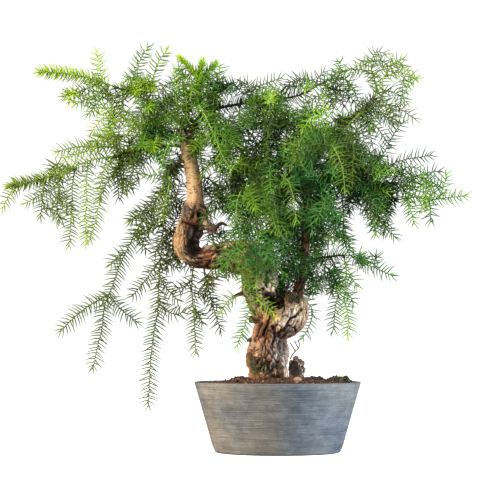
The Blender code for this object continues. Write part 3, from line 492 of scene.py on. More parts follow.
# %% List the clouds and the gaps
CLOUDS = [  # x, depth and z, then half width, half depth and half height, and tries
    ((-185, 10, 522), (60, 45, 40), 42), ((-235, -10, 548), (50, 35, 24), 26),
    ((-225, 0, 580), (52, 32, 12), 34), ((-215, -10, 485), (48, 35, 14), 18),
    ((-125, 10, 560), (55, 45, 36), 38), ((-85, 8, 588), (34, 30, 10), 26),
    ((-70, 5, 535), (60, 60, 44), 66), ((0, 5, 535), (68, 65, 40), 64), ((75, 0, 520), (62, 60, 44), 58),
    ((35, 5, 588), (40, 30, 12), 26), ((88, 0, 582), (16, 20, 16), 14), ((160, 5, 612), (34, 25, 16), 20),
    ((150, -5, 545), (34, 40, 30), 20), ((-60, 0, 465), (60, 60, 52), 76),
    ((10, 0, 465), (72, 90, 58), 140), ((80, 0, 465), (68, 90, 58), 140),
    ((142, 0, 450), (48, 70, 42), 70), ((0, -10, 400), (75, 80, 46), 110),
    ((70, 0, 400), (58, 80, 45), 76), ((140, 5, 412), (45, 55, 24), 30), ((210, 0, 436), (45, 35, 24), 22),
    ((15, 0, 345), (60, 55, 34), 54), ((14, 8, 288), (22, 25, 30), 40), ((80, 0, 330), (40, 45, 34), 26),
    ((150, -15, 298), (22, 16, 10), 4), ((-60, 5, 395), (42, 50, 40), 56),
    ((-100, 12, 342), (26, 25, 14), 18), ((-108, 14, 436), (26, 36, 34), 24),
    ((-125, -18, 502), (14, 18, 30), 14), ((-162, 26, 405), (18, 18, 75), 26),
    ((-200, 12, 366), (12, 16, 18), 8), ((-128, -5, 236), (26, 20, 26), 5),
    ((-95, -30, 276), (16, 16, 18), 8), ((-40, -62, 325), (48, 14, 40), 56),
    ((62, -10, 268), (30, 35, 22), 10), ((-272, -10, 522), (30, 30, 32), 14),
    ((-252, -5, 450), (14, 20, 22), 8), ((-345, -22, 455), (60, 20, 10), 6),
    ((-25, 5, 578), (30, 20, 10), 20), ((-80, -10, 276), (12, 14, 12), 6),
    ((5, -48, 264), (14, 12, 10), 8), ((78, -8, 264), (30, 30, 26), 10), ((96, 0, 336), (24, 30, 18), 4),
    ((148, -10, 376), (26, 30, 18), 8), ((206, -8, 604), (22, 16, 34), 4),
    ((108, 0, 586), (14, 14, 12), 8), ((-140, -6, 586), (24, 16, 18), 26),
    ((-162, -14, 612), (14, 10, 12), 5), ((-145, -4, 206), (30, 14, 16), 2),
    ((50, -20, 280), (14, 12, 26), 12), ((-260, 4, 570), (16, 16, 14), 8),
    ((100, -5, 608), (18, 14, 10), 6), ((-236, 5, 463), (16, 16, 12), 6),
    ((-156, 30, 322), (16, 16, 18), 8), ((-92, 0, 600), (12, 12, 10), 5), ((-322, 0, 575), (14, 14, 8), 4),
    ((-225, -10, 330), (12, 12, 14), 3), ((-356, -20, 394), (14, 14, 16), 4),
    ((200, -5, 374), (14, 14, 12), 3), ((-106, 20, 392), (10, 14, 10), 6),
    ((8, 44, 264), (26, 18, 20), 26), ((54, 24, 252), (16, 14, 16), 12),
    ((-46, -12, 556), (34, 10, 10), 18), ((-104, 26, 342), (18, 14, 9), 10),
    ((172, -5, 392), (22, 18, 12), 10), ((127, -5, 314), (14, 14, 10), 5),
    ((-146, 26, 512), (26, 16, 22), 20), ((-78, 5, 586), (18, 16, 10), 22),
    ((-164, 20, 370), (14, 16, 22), 8), ((-92, -14, 288), (34, 14, 8), 5),
    ((247, -5, 424), (14, 14, 16), 7), ((-172, 28, 346), (10, 14, 20), 8),
    ((-121, 0, 218), (12, 10, 12), 4),
]
GAPS = [  # ovals where the wall shows through the crown: x, z, half width, half height
    (-220, 438, 18, 22), (-236, 385, 28, 28), (-104, 436, 10, 16), (172, 500, 16, 22), (207, 474, 34, 14),
    (136, 348, 18, 22), (84, 322, 14, 12), (-84, 240, 12, 16), (196, 350, 18, 12), (58, 206, 14, 24),
    (-74, 550, 26, 13), (46, 572, 14, 8), (-62, 610, 22, 14), (136, 606, 10, 14), (104, 533, 22, 8),
    (-92, 366, 16, 13), (68, 232, 13, 18), (132, 274, 10, 14), (258, 446, 12, 10), (-30, 505, 9, 8),
    (10, 448, 8, 8), (-66, 478, 8, 9), (70, 470, 8, 7), (24, 392, 7, 9), (96, 398, 9, 9),
    (-292, 522, 12, 12), (-233, 551, 10, 10), (-276, 450, 8, 14), (-212, 441, 18, 16), (-272, 306, 10, 20),
    (167, 518, 14, 14), (34, 575, 10, 8), (100, 533, 28, 8), (140, 578, 12, 12), (188, 594, 10, 10),
    (218, 631, 10, 12), (172, 306, 12, 12), (107, 310, 10, 18), (-396, 456, 24, 13), (171, 330, 14, 14),
    (115, 250, 12, 12), (-68, 266, 10, 14), (-105, 210, 14, 16), (-148, 178, 12, 14), (30, 556, 9, 14),
    (127, 370, 14, 14), (152, 334, 12, 12), (107, 218, 14, 16),
]
FRONT_GAPS = [  # ovals where only what stands behind the wood grows
    (-146, 510, 22, 20), (45, 334, 10, 28), (-164, 440, 26, 56), (-178, 346, 26, 40), (-6, 236, 42, 34),
]
print("clouds:", len(CLOUDS), "gaps:", len(GAPS), "gaps in front of bare wood:", len(FRONT_GAPS))

# %% Pick the spots, and list what can carry a shoot
SEED = 58
BARE_SPRAYS = ("apex_1",)  # its short upright brushes carry no side shoots
LEAFY_WOOD = [name for name in WOOD if "branch" in name or name in ("right stem", "top right fork")]

chance = random.Random(SEED)
spots = []
for centre, half, tries in CLOUDS:
    for _ in range(tries):
        while True:  # until the spot is in the oval, and not in a corner of the box round it
            offset = [chance.uniform(-1, 1) for _ in range(3)]
            if sum(o * o for o in offset) < 1:
                break
        spots.append(in_space(*(c + o * h for c, o, h in zip(centre, offset, half))))
chance.shuffle(spots)

carriers, owners = [], []  # points that can carry a shoot, and the spray or the member that each is on


def add_carriers(points, owner):
    carriers.extend(tuple(point) for point in points)
    owners.extend([owner] * len(points))


for shoot in shoots:
    if shoot["spray"] not in BARE_SPRAYS:
        add_carriers(shoot["route"], shoot["spray"])
for name in LEAFY_WOOD:
    add_carriers(smooth_route([in_space(*p[:3]) for p in WOOD[name]], STEM_STEP), name)
print("spots:", len(spots), "points that can carry a shoot:", len(carriers))

# %% Keep shoots off the thick wood and out of the gaps
WOOD_CLEARANCE = 3 * MM
THICK_POINTS = np.array([tuple(point) for name in ("trunk and shoulder", "limb and stem")
                         for point in smooth_route(with_radius(WOOD[name]), STEM_STEP)])


def clear_of_wood(points):
    """Whether points keep a little off the trunk, the limb and the stem."""
    gaps = np.linalg.norm(np.array(points)[:, None] - THICK_POINTS[None, :, :3], axis=2) - THICK_POINTS[:, 3]
    return gaps.min() > WOOD_CLEARANCE


def in_a_gap(points):
    """Whether the eye sees any of some points in a gap of the crown, or in front of bare wood."""
    points = np.array(points)
    x, z = as_seen(points)
    in_front = points[:, 1] < 0

    def inside(gap):
        return np.hypot((x - gap[0]) / gap[2], (z - gap[1]) / gap[3]) < 1

    return (any(inside(gap).any() for gap in GAPS)
            or any((inside(gap) & in_front).any() for gap in FRONT_GAPS))


print("points on the thick wood:", len(THICK_POINTS))

# %% Grow the side shoots
CROWDED = 9.5 * MM  # a spot this near to a shoot is not empty
OUT_OF_REACH = 78 * MM
SHORTEST, LONGEST = 44 * MM, 104 * MM
OVERSHOOT = 1.15  # how far a shoot grows, as a share of the way to its spot
ARCH, DROOP = 0.05, 0.34  # how far its middle rises and its tip hangs, as shares of its length
DULL_TIPS = 0.4  # how bright their tips are, where 1 is as bright as those of drawn shoots


def grown_route(root, spot):
    """A short shoot from its root towards a spot, that arches and bends down under its own weight."""
    run = spot - root
    length = min(max(run.length * OVERSHOOT, SHORTEST), LONGEST)
    direction = run.normalized()
    middle = root + direction * length * 0.5 + Vector((0, 0, ARCH * length))
    end = root + direction * length - Vector((0, 0, DROOP * length))
    return smooth_route([root, middle, end], STEM_STEP)


added = 0
for spot in spots * 2:
    gaps = np.linalg.norm(np.array(carriers) - np.array(spot), axis=1)
    nearest = int(gaps.argmin())
    if not CROWDED < gaps[nearest] < OUT_OF_REACH:
        continue
    route = grown_route(Vector(carriers[nearest]), spot)
    if not clear_of_wood(route[1:]) or in_a_gap(route):
        continue
    shoots.append({"spray": owners[nearest], "route": route, "thick": GROWN_STEM, "tips": DULL_TIPS})
    add_carriers(route[2:], owners[nearest])
    added += 1
print("grown shoots:", added)

# %% [markdown]
# ## Old needles and thick plumes
#
# Old needles still stand on the thin branches themselves. The ends of the longest shoots on the left are
# young and thick with needles, like a bottle brush. The end of such a shoot is listed once or twice more, and
# the second set of needles stands between the first.

# %% Clothe the branches and thicken the ends
BARE_ABOVE = 5.6  # millimetres: wood with a larger radius has lost its needles
PLUMES = {  # for a spray: how long its plume is, the size of the needles that are added, and how many sets
    "top_left_1": (110 * MM, 0.85, 2), "far_left_1": (96 * MM, 0.8, 2), "top_left_2": (80 * MM, 1.0, 1),
    "top_left_3": (80 * MM, 1.0, 1)}

for name in LEAFY_WOOD:
    route = smooth_route([in_space(*p[:3]) for p in WOOD[name] if p[3] < BARE_ABOVE], STEM_STEP)
    shoots.append({"spray": name, "route": route, "thick": GROWN_STEM, "tips": 0.0})
for spray, (reach, size, sets) in PLUMES.items():
    route = next(shoot["route"] for shoot in shoots if shoot["spray"] == spray)
    end = route[-max(2, round(reach / STEM_STEP)):]
    shoots += [{"spray": spray, "route": end, "thick": GROWN_STEM, "tips": 1.0, "size": size,
                "plume": True}] * sets
print("all shoots:", len(shoots), "and", round(sum(route_length(s["route"]) for s in shoots), 2), "m")

# %% [markdown]
# ## Geometry Nodes that dress a shoot with needles
#
# Needles repeat thousands of times along curves, which is just what Geometry Nodes are for. The tree takes
# the routes as plain lines. It sweeps a small circle along them for the stems, puts one bent, tapering
# needle at each short step, turns each by the golden angle from the last, as plants do, and leans it forward.
# The side shoots of this plant are a little flattened, so the turns crowd towards two sides, as in a loose
# comb. Near the end of a shoot the needles are shorter and point forward.
#
# Four values are kept on the mesh for the colour: how near the shoot's end a needle is, how far along the
# needle a point is, a random value for each needle, and which parts are stems.

# %% Helpers for building trees of nodes
def new_tree(name, kind, inputs, outputs):
    """A tree of nodes with named inputs and outputs, and the sockets at its two ends."""
    tree = bpy.data.node_groups.new(name, kind + "NodeTree")
    for direction, sockets in (("INPUT", inputs), ("OUTPUT", outputs)):
        for label, socket, value in sockets:
            made = tree.interface.new_socket(label, in_out=direction, socket_type="NodeSocket" + socket)
            if value is not None:
                made.default_value = value
    return tree, tree.nodes.new("NodeGroupInput").outputs, tree.nodes.new("NodeGroupOutput").inputs


def maths(tree, operation, *values):
    return add_node(tree, "ShaderNodeMath", dict(enumerate(values)), operation=operation)


def between(tree, low, high, seed):
    """A random number for each point or instance."""
    return add_node(tree, "FunctionNodeRandomValue", {2: low, 3: high, "Seed": seed}, out=1)


def ramp(tree, value, start, end, low, high, shape="SMOOTHSTEP"):
    """A value that goes from low to high as another goes from start to end."""
    return add_node(
        tree, "ShaderNodeMapRange", {0: value, 1: start, 2: end, 3: low, 4: high}, interpolation_type=shape)


def store(tree, geometry, name, value, domain="POINT"):
    return add_node(
        tree, "GeometryNodeStoreNamedAttribute", {"Geometry": geometry, "Name": name, "Value": value},
        data_type="FLOAT", domain=domain)


def turn(tree, rotation, axis, angle):
    """A rotation followed by a turn about one of its own axes."""
    by = add_node(tree, "FunctionNodeAxisAngleToRotation", {"Axis": axis, "Angle": angle})
    return add_node(
        tree, "FunctionNodeRotateRotation", {"Rotation": rotation, "Rotate By": by}, rotation_space="LOCAL")


GEOMETRY = ("Geometry", "Geometry", None)
GOLDEN_ANGLE = math.pi * (3 - math.sqrt(5))
print("the golden angle:", round(math.degrees(GOLDEN_ANGLE), 1), "degrees")

# %% Build the needle tree
def needle_tree():
    tree, given, result = new_tree("needles along shoots", "Geometry", [
        GEOMETRY, ("Spacing", "Float", 2.3 * MM), ("Needle length", "Float", 18.5 * MM),
        ("Needle width", "Float", 1.9 * MM), ("Needle bow", "Float", 0.16),
        ("Lean", "Float", math.radians(75)), ("Lean at the tip", "Float", math.radians(38)),
        ("Tip zone", "Float", 11 * MM), ("Flatness", "Float", 0.34), ("Bare root", "Float", 3 * MM),
        ("Seed", "Int", 1), ("Material", "Material", None)], [GEOMETRY])
    lines = add_node(tree, "GeometryNodeMeshToCurve", {"Mesh": given["Geometry"]})

    share = add_node(tree, "GeometryNodeSplineParameter")
    thick = add_node(tree, "GeometryNodeInputNamedAttribute", {"Name": "thick"}, data_type="FLOAT")
    taper = maths(tree, "MULTIPLY", thick, ramp(tree, share, 0, 1, 1.0, 0.5, "LINEAR"))
    ring = add_node(tree, "GeometryNodeCurvePrimitiveCircle", {"Resolution": 4, "Radius": 1.0})
    stems = add_node(tree, "GeometryNodeCurveToMesh", {
        "Curve": lines, "Profile Curve": ring, "Scale": taper, "Fill Caps": True})
    stems = store(tree, stems, "stem", 1.0)

    length = given["Needle length"]
    bow = maths(tree, "MULTIPLY", maths(tree, "MULTIPLY", length, given["Needle bow"]), -1.0)
    middle = add_node(tree, "ShaderNodeCombineXYZ", {"Z": maths(tree, "MULTIPLY", length, 0.55)})
    end = add_node(tree, "ShaderNodeCombineXYZ", {"X": bow, "Z": length})
    needle = add_node(tree, "GeometryNodeCurveQuadraticBezier", {
        "Resolution": 2, "Start": (0, 0, 0), "Middle": middle, "End": end})
    along = add_node(tree, "GeometryNodeSplineParameter")
    needle = store(tree, needle, "along", along)
    thinning = maths(tree, "SUBTRACT", 1.0, maths(tree, "MULTIPLY", maths(tree, "POWER", along, 2.5), 0.85))
    half_width = maths(tree, "MULTIPLY", given["Needle width"], 0.5)
    triangle = add_node(tree, "GeometryNodeCurvePrimitiveCircle", {"Resolution": 3, "Radius": half_width})
    needle = add_node(tree, "GeometryNodeCurveToMesh", {
        "Curve": needle, "Profile Curve": triangle, "Scale": thinning, "Fill Caps": True})

    steps = add_node(
        tree, "GeometryNodeResampleCurve", {"Curve": lines, "Length": given["Spacing"]}, mode="LENGTH")
    walked = add_node(tree, "GeometryNodeSplineParameter", out=1)
    whole = add_node(tree, "GeometryNodeSplineLength")
    left = maths(tree, "SUBTRACT", whole, walked)
    near_tip = ramp(tree, left, 0.0, given["Tip zone"], 1.0, 0.0)
    steps = store(tree, steps, "fresh", near_tip)
    past_root = maths(tree, "GREATER_THAN", walked, given["Bare root"])

    forward = add_node(tree, "GeometryNodeInputTangent")
    rotation = add_node(tree, "FunctionNodeAlignRotationToVector", {"Vector": forward}, axis="Z")
    level = add_node(tree, "ShaderNodeVectorMath", {0: forward, 1: (0, 1, 0)}, operation="CROSS_PRODUCT")
    rotation = add_node(tree, "FunctionNodeAlignRotationToVector", {
        "Rotation": rotation, "Vector": level}, axis="X", pivot_axis="Z")
    index = add_node(tree, "GeometryNodeInputIndex")
    spin = maths(tree, "MULTIPLY", index, GOLDEN_ANGLE)
    ranks = maths(tree, "SINE", maths(tree, "MULTIPLY", spin, 2.0))
    spin = maths(tree, "SUBTRACT", spin, maths(tree, "MULTIPLY", ranks, given["Flatness"]))
    spin = maths(tree, "ADD", spin, between(tree, -0.2, 0.2, given["Seed"]))
    rotation = turn(tree, rotation, (0, 0, 1), spin)
    lean = add_node(tree, "ShaderNodeMix", {0: near_tip, 2: given["Lean"], 3: given["Lean at the tip"]})
    lean = maths(tree, "ADD", lean, between(tree, -0.12, 0.12, maths(tree, "ADD", given["Seed"], 1)))
    rotation = turn(tree, rotation, (0, 1, 0), lean)
    size = between(tree, 0.8, 1.08, maths(tree, "ADD", given["Seed"], 2))
    size = maths(tree, "MULTIPLY", size, ramp(tree, near_tip, 0, 1, 1.0, 0.76, "LINEAR"))
    own_size = add_node(tree, "GeometryNodeInputNamedAttribute", {"Name": "size"}, data_type="FLOAT")
    size = maths(tree, "MULTIPLY", size, own_size)
    scale = add_node(tree, "ShaderNodeCombineXYZ", {"X": 1.0, "Y": 1.0, "Z": size})
    needles = add_node(tree, "GeometryNodeInstanceOnPoints", {
        "Points": steps, "Selection": past_root, "Instance": needle, "Rotation": rotation, "Scale": scale})
    needles = store(
        tree, needles, "chance", between(tree, 0.0, 1.0, maths(tree, "ADD", given["Seed"], 3)), "INSTANCE")

    both = tree.nodes.new("GeometryNodeJoinGeometry")
    for part in (stems, needles):
        tree.links.new(part, both.inputs[0])
    whole_spray = add_node(tree, "GeometryNodeRealizeInstances", {"Geometry": both.outputs[0]})
    whole_spray = add_node(tree, "GeometryNodeSetShadeSmooth", {"Geometry": whole_spray})
    whole_spray = add_node(
        tree, "GeometryNodeSetMaterial", {"Geometry": whole_spray, "Material": given["Material"]})
    tree.links.new(whole_spray, result[0])
    return tree


NEEDLE_TREE = needle_tree()
print("nodes in the needle tree:", len(NEEDLE_TREE.nodes))

# %% [markdown]
# ## Patterns that several finishes share
#
# Fine grain, long streaks and damp or mossy patches show on more than one material. Each is a small shader
# group with named inputs, built once. A group puts out only masks; the colours stay in the materials.

# %% Build the shared shader groups
MASK = [("Mask", "Float", None)]


def clamped(tree, spread):
    """A half more than a value, kept between 0 and 1."""
    return add_node(tree, "ShaderNodeMath", {0: spread, 1: 0.5}, operation="ADD", use_clamp=True)


def grain_group():
    """Fine grain: the mean of two noises, one three times finer than the other."""
    tree, given, result = new_tree("fine grain", "Shader", [
        ("Vector", "Vector", None), ("Scale", "Float", 600.0), ("Contrast", "Float", 1.0)], MASK)
    coarse = add_node(tree, "ShaderNodeTexNoise", {"Vector": given["Vector"], "Scale": given["Scale"]})
    finer = maths(tree, "MULTIPLY", given["Scale"], 3.1)
    fine = add_node(tree, "ShaderNodeTexNoise", {"Vector": given["Vector"], "Scale": finer})
    mean = maths(tree, "MULTIPLY", maths(tree, "ADD", coarse, fine), 0.5)
    spread = maths(tree, "MULTIPLY", maths(tree, "SUBTRACT", mean, 0.5), given["Contrast"])
    tree.links.new(clamped(tree, spread), result["Mask"])
    return tree


def streak_group():
    """Long streaks along one axis: noise on stretched coordinates, made harder by the contrast."""
    tree, given, result = new_tree("streaks", "Shader", [
        ("Vector", "Vector", None), ("Across", "Vector", (1, 1, 1)), ("Detail", "Float", 4.0),
        ("Contrast", "Float", 1.5), ("Warp", "Float", 0.0)], MASK)
    stretched = add_node(
        tree, "ShaderNodeVectorMath", {0: given["Vector"], 1: given["Across"]}, operation="MULTIPLY")
    streaks = add_node(tree, "ShaderNodeTexNoise", {
        "Vector": stretched, "Scale": 1.0, "Detail": given["Detail"], "Distortion": given["Warp"]})
    spread = maths(tree, "MULTIPLY", maths(tree, "SUBTRACT", streaks, 0.5), given["Contrast"])
    tree.links.new(clamped(tree, spread), result["Mask"])
    return tree


def patch_group():
    """Soft-edged patches, such as damp, moss or cloudy blotches, over a share of the surface."""
    tree, given, result = new_tree("patches", "Shader", [
        ("Vector", "Vector", None), ("Scale", "Float", 30.0), ("Share", "Float", 0.5),
        ("Softness", "Float", 0.1)], MASK)
    cloud = add_node(tree, "ShaderNodeTexNoise", {
        "Vector": given["Vector"], "Scale": given["Scale"], "Detail": 5.0, "Roughness": 0.6})
    edge = maths(tree, "SUBTRACT", 0.75, maths(tree, "MULTIPLY", given["Share"], 0.5))
    low = maths(tree, "SUBTRACT", edge, given["Softness"])
    high = maths(tree, "ADD", edge, given["Softness"])
    tree.links.new(ramp(tree, cloud, low, high, 0.0, 1.0), result["Mask"])
    return tree


GRAIN, STREAKS, PATCHES = grain_group(), streak_group(), patch_group()
print("shared groups:", GRAIN.name, "/", STREAKS.name, "/", PATCHES.name)

# %% Helpers for the finishes
def use_group(tree, group, inputs):
    return add_node(tree, "ShaderNodeGroup", inputs, node_tree=group)


def new_material(name, roughness):
    """A material with an empty Principled shader, and its tree and shader."""
    made = bpy.data.materials.new(name)
    made.use_nodes = True
    shader = made.node_tree.nodes["Principled BSDF"]
    shader.inputs["Roughness"].default_value = roughness
    return made, made.node_tree, shader


def mixed(tree, mask, low, high, how="MIX"):
    """Two colours, or textures, mixed by a mask."""
    return add_node(
        tree, "ShaderNodeMix", {0: mask, 6: low, 7: high}, out=2, data_type="RGBA", blend_type=how)


def shaded(tree, colour, shade):
    """A colour made darker or lighter by a factor."""
    grey = add_node(tree, "ShaderNodeCombineXYZ", {0: shade, 1: shade, 2: shade})
    return mixed(tree, 1.0, colour, grey, "MULTIPLY")


def attribute(tree, name, out=2):
    """A value that was kept on the mesh; output 1 gives it as a vector."""
    return add_node(tree, "ShaderNodeAttribute", out=out, attribute_name=name)


def place(tree):
    """The object's own coordinates, which are metres in the plant's frame."""
    return add_node(tree, "ShaderNodeTexCoord", out=3)


def rgb(red, green, blue):
    """A colour given as it looks on a screen, from 0 to 255, in the linear values that shaders use."""
    values = (((c / 255 + 0.055) / 1.055) ** 2.4 if c > 10 else c / 255 / 12.92 for c in (red, green, blue))
    return (*values, 1)


def add_bump(tree, shader, height, distance):
    """Roughen a surface by a height, given as a mask, over a distance in metres."""
    normal = add_node(tree, "ShaderNodeBump", {"Strength": 1.0, "Distance": distance, "Height": height})
    tree.links.new(normal, shader.inputs["Normal"])


print("bark brown in linear values:", [round(c, 3) for c in rgb(84, 56, 40)[:3]])

# %% [markdown]
# ## The finish of the needles
#
# Old needles are deep green, young ones near the end of a shoot are a bright yellow-green, and no two needles
# have just the same green. So the colour follows the values that the needle tree kept, and a slow noise makes
# one part of the crown bluer than the next. The stems of old shoots are a duller green.

# %% Make the needle finish
def needle_material():
    made, tree, shader = new_material("needles", 0.5)
    # youth_and_shade is each shoot's youth, lowered deep inside the crown as painted shade
    youth_and_shade, fresh, along = attribute(tree, "youth_and_shade"), attribute(tree, "fresh"), attribute(tree, "along")
    lively = maths(tree, "MULTIPLY", fresh, maths(tree, "ADD", 0.04, maths(tree, "MULTIPLY", youth_and_shade, 0.4)))
    lively = maths(tree, "MULTIPLY", lively, attribute(tree, "tips"))
    age_and_shade = maths(tree, "ADD", youth_and_shade, lively)
    age_and_shade = maths(tree, "ADD", age_and_shade, maths(tree, "MULTIPLY", along, 0.08))
    age_and_shade = maths(tree, "ADD", age_and_shade, maths(tree, "MULTIPLY", attribute(tree, "chance"), 0.14))
    colours = tree.nodes.new("ShaderNodeValToRGB")
    tree.links.new(age_and_shade, colours.inputs[0])
    stops = colours.color_ramp.elements
    stops[0].position, stops[0].color = 0.05, rgb(16, 30, 6)
    stops[1].position, stops[1].color = 1.0, rgb(184, 214, 18)
    for position, colour in ((0.26, rgb(42, 72, 12)), (0.44, rgb(78, 120, 14)), (0.62, rgb(118, 162, 16)),
                             (0.82, rgb(156, 196, 16))):
        stops.new(position).color = colour
    cloud = use_group(tree, PATCHES, {"Vector": place(tree), "Scale": 8.0, "Share": 0.5, "Softness": 0.12})
    bluer = mixed(tree, maths(tree, "MULTIPLY", cloud, 0.3), colours.outputs[0], rgb(34, 88, 24))
    blue = mixed(tree, attribute(tree, "blue"), bluer, rgb(60, 146, 62))
    blue = mixed(tree, attribute(tree, "olive"), blue, rgb(112, 104, 14))
    stem_colour = mixed(tree, ramp(tree, age_and_shade, 0.2, 0.6, 0, 1), rgb(80, 98, 40), rgb(150, 192, 70))
    tree.links.new(mixed(tree, attribute(tree, "stem"), blue, stem_colour), shader.inputs["Base Color"])
    tree.links.new(ramp(tree, along, 0, 1, 0.5, 0.62), shader.inputs["Roughness"])
    shader.inputs["Specular IOR Level"].default_value = 0.32
    return made


NEEDLES = needle_material()
print("finish:", NEEDLES.name)

# %% [markdown]
# ## The leafy sprays
#
# Each spray is one object. Its routes become lines in a mesh, with the thickness of each shoot and its youth,
# which carries painted shade too, kept as attributes. The tree dresses them, and the result is kept as a
# plain mesh. Shoots inside the crown get darker needles than those outside, as painted shade, and here and
# there one is bluer or more olive.

# %% Say how young, blue and dense each spray is
YOUTH = {  # how young the needles of a spray look, where it isn't the usual value
    "top_left_1": 0.54, "top_left_2": 0.32, "top_left_3": 0.36, "top_left_4": 0.64, "top_left_5": 0.64,
    "top_left_6": 0.52, "far_left_1": 0.34, "far_left_2": 0.2, "far_left_6": 0.46, "apex_1": 0.7,
    "apex_2": 0.56, "apex_3": 0.5, "cascade_1": 0.2, "cascade_2": 0.14, "top_1": 0.3, "top_4": 0.5,
    "top_6": 0.34, "centre_1": 0.26, "centre_3": 0.32, "right_top_1": 0.4, "right_top_2": 0.48,
    "right_top_3": 0.3, "trunk_left": 0.34, "trunk_front": 0.34, "low_right_1": 0.28, "right_tip": 0.3,
    "right_hanging": 0.34, "loop_1": 0.14, "loop_2": 0.16, "far_left_4": 0.24, "far_left_3": 0.2,
    "top left branch": 0.52, "far left branch": 0.4, "top right fork": 0.34,
}
USUAL_YOUTH = 0.22
YOUNGER_OR_OLDER = (-0.17, 0.24)  # what chance adds for each shoot
OUTER_YOUNGER, INNER_PAINTED_SHADE = 0.1, 0.42  # added everywhere, and taken away deep inside the crown as painted shade
MAIN_YOUNGER = {"top_left_1": 0.26, "far_left_1": 0.14}  # the long plumes
OLIVE = {
    "far_left": 0.36, "cascade": 0.34, "loop": 0.34, "top_left": 0.12, "trunk_left": 0.2, "right_top": 0.2}
BLUE = {"centre_2": 0.32, "centre_1": 0.2, "right_tip": 0.2, "low_right_2": 0.2, "top_4": 0.12}
BLUER_SHOOTS = (0.0, 0.0, 0.0, 0.24)  # one shoot in four is bluer
CLOSE_NEEDLES = ("far_left", "cascade", "loop", "top_left_1", "trunk_left", "centre_1", "low_right",
                 "right_tip", "right_hanging")
BRUSH = {"Spacing": 0.55 * MM, "Needle length": 12.5 * MM, "Needle width": 2.2 * MM,
         "Lean": math.radians(52), "Flatness": 0.0}


def needles_of(spray):
    """The inputs of the needle tree for a spray: closer needles on the outer shoots and bare branches."""
    if spray == "apex_1":
        return BRUSH
    if spray in LEAFY_WOOD:
        return {"Spacing": 1.1 * MM}
    if spray.startswith("cascade"):
        return {"Spacing": 1.8 * MM, "Needle width": 2.2 * MM, "Needle length": 20 * MM}
    return {"Spacing": 1.9 * MM, "Needle width": 2.1 * MM} if spray.startswith(CLOSE_NEEDLES) else {}


print("sprays with a youth of their own:", len(YOUTH))

# %% Grow needles on a mesh of lines
def set_inputs(modifier, values):
    """Set a modifier's named inputs by their identifiers."""
    for item in modifier.node_group.interface.items_tree:
        if item.in_out == "INPUT" and item.name in values:
            modifier[item.identifier] = values[item.name]


def made_plain(thing):
    """Keep what a thing's modifiers make of it as its own plain mesh."""
    bpy.context.view_layer.update()
    result = bpy.data.meshes.new_from_object(thing.evaluated_get(bpy.context.evaluated_depsgraph_get()))
    thing.modifiers.clear()
    thing.data = result
    return thing


def grow(name, mesh, tree, values):
    """An object whose mesh is what a geometry tree makes of the given one."""
    made = new_object(name, mesh)
    modifier = made.modifiers.new("grow", "NODES")
    modifier.node_group = tree
    set_inputs(modifier, values)
    made_plain(made).data.name = name
    return made


def line_mesh(name, parts):
    """Routes as open lines of edges, with what is known of each route on its points."""
    points, edges = [], []
    values = {label: [] for label in ("thick", "youth_and_shade", "blue", "tips", "size", "olive")}
    for part in parts:
        start = len(points)
        points += part["route"]
        edges += [(k, k + 1) for k in range(start, len(points) - 1)]
        for label, kept in values.items():
            kept += [part[label]] * len(part["route"])
    mesh = bpy.data.meshes.new(name)
    mesh.from_pydata(points, edges, [])
    for label, kept in values.items():
        mesh.attributes.new(label, "FLOAT", "POINT").data.foreach_set("value", kept)
    return mesh


def triangles(thing):
    return sum(len(face.vertices) - 2 for face in thing.data.polygons)


print("inputs of the needle tree:", sum(
    item.in_out == "INPUT" for item in NEEDLE_TREE.interface.items_tree))

# %% Dress the sprays
SHADE_REACH = 45 * MM  # how near other shoots have to be to shade one
SHADE_COUNT = 420      # how many of their points hide it

everywhere = np.array([tuple(point) for shoot in shoots for point in shoot["route"]])


def shaded_by_others(route):
    """How deep inside the crown a shoot is: 0 outside, and 1 where many others stand round it."""
    middle = np.array(route[len(route) // 2])
    return min(1.0, (np.linalg.norm(everywhere - middle, axis=1) < SHADE_REACH).sum() / SHADE_COUNT)


total = 0
for number, spray in enumerate([*SPRAYS, *LEAFY_WOOD]):
    parts = [shoot for shoot in shoots if shoot["spray"] == spray]
    for part in parts:
        part["youth_and_shade"] = YOUTH.get(spray, USUAL_YOUTH) + chance.uniform(*YOUNGER_OR_OLDER)
        # shoots deep inside the crown get darker needles: painted shade
        part["youth_and_shade"] += OUTER_YOUNGER - INNER_PAINTED_SHADE * shaded_by_others(part["route"])
        if part.get("main") or part.get("plume"):
            part["youth_and_shade"] += MAIN_YOUNGER.get(spray, 0.0)
        part.setdefault("size", 1.0)
        part["olive"] = OLIVE.get(spray.rstrip("_123456"), 0.0)
        part["blue"] = BLUE.get(spray, 0.0) + chance.choice(BLUER_SHOOTS)
    leaves = grow("leaves_" + spray.replace(" ", "_"), line_mesh("lines", parts), NEEDLE_TREE,
                  {"Seed": 10 * number, "Material": NEEDLES, **needles_of(spray)})
    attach(leaves, "root")
    if spray in SPRAYS:
        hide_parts("spray_" + spray)
    total += triangles(leaves)
print("triangles of the leaves:", total)

# %% [markdown]
# ## The skin of the wood
#
# The trunk, the bent limb and the stems have grown together, so their surface is made in one go. Each member
# is a tube of many sides, and a voxel remesh melts all the tubes into one skin with soft joins. The twigs are
# far thinner than the trunk, so they are a piece of their own with smaller voxels. In the solids a thin
# branch is as thick as its bark and old leaf bases; here it is bare wood, so it is thinner. A short spur
# joins each drawn shoot to the nearest wood.

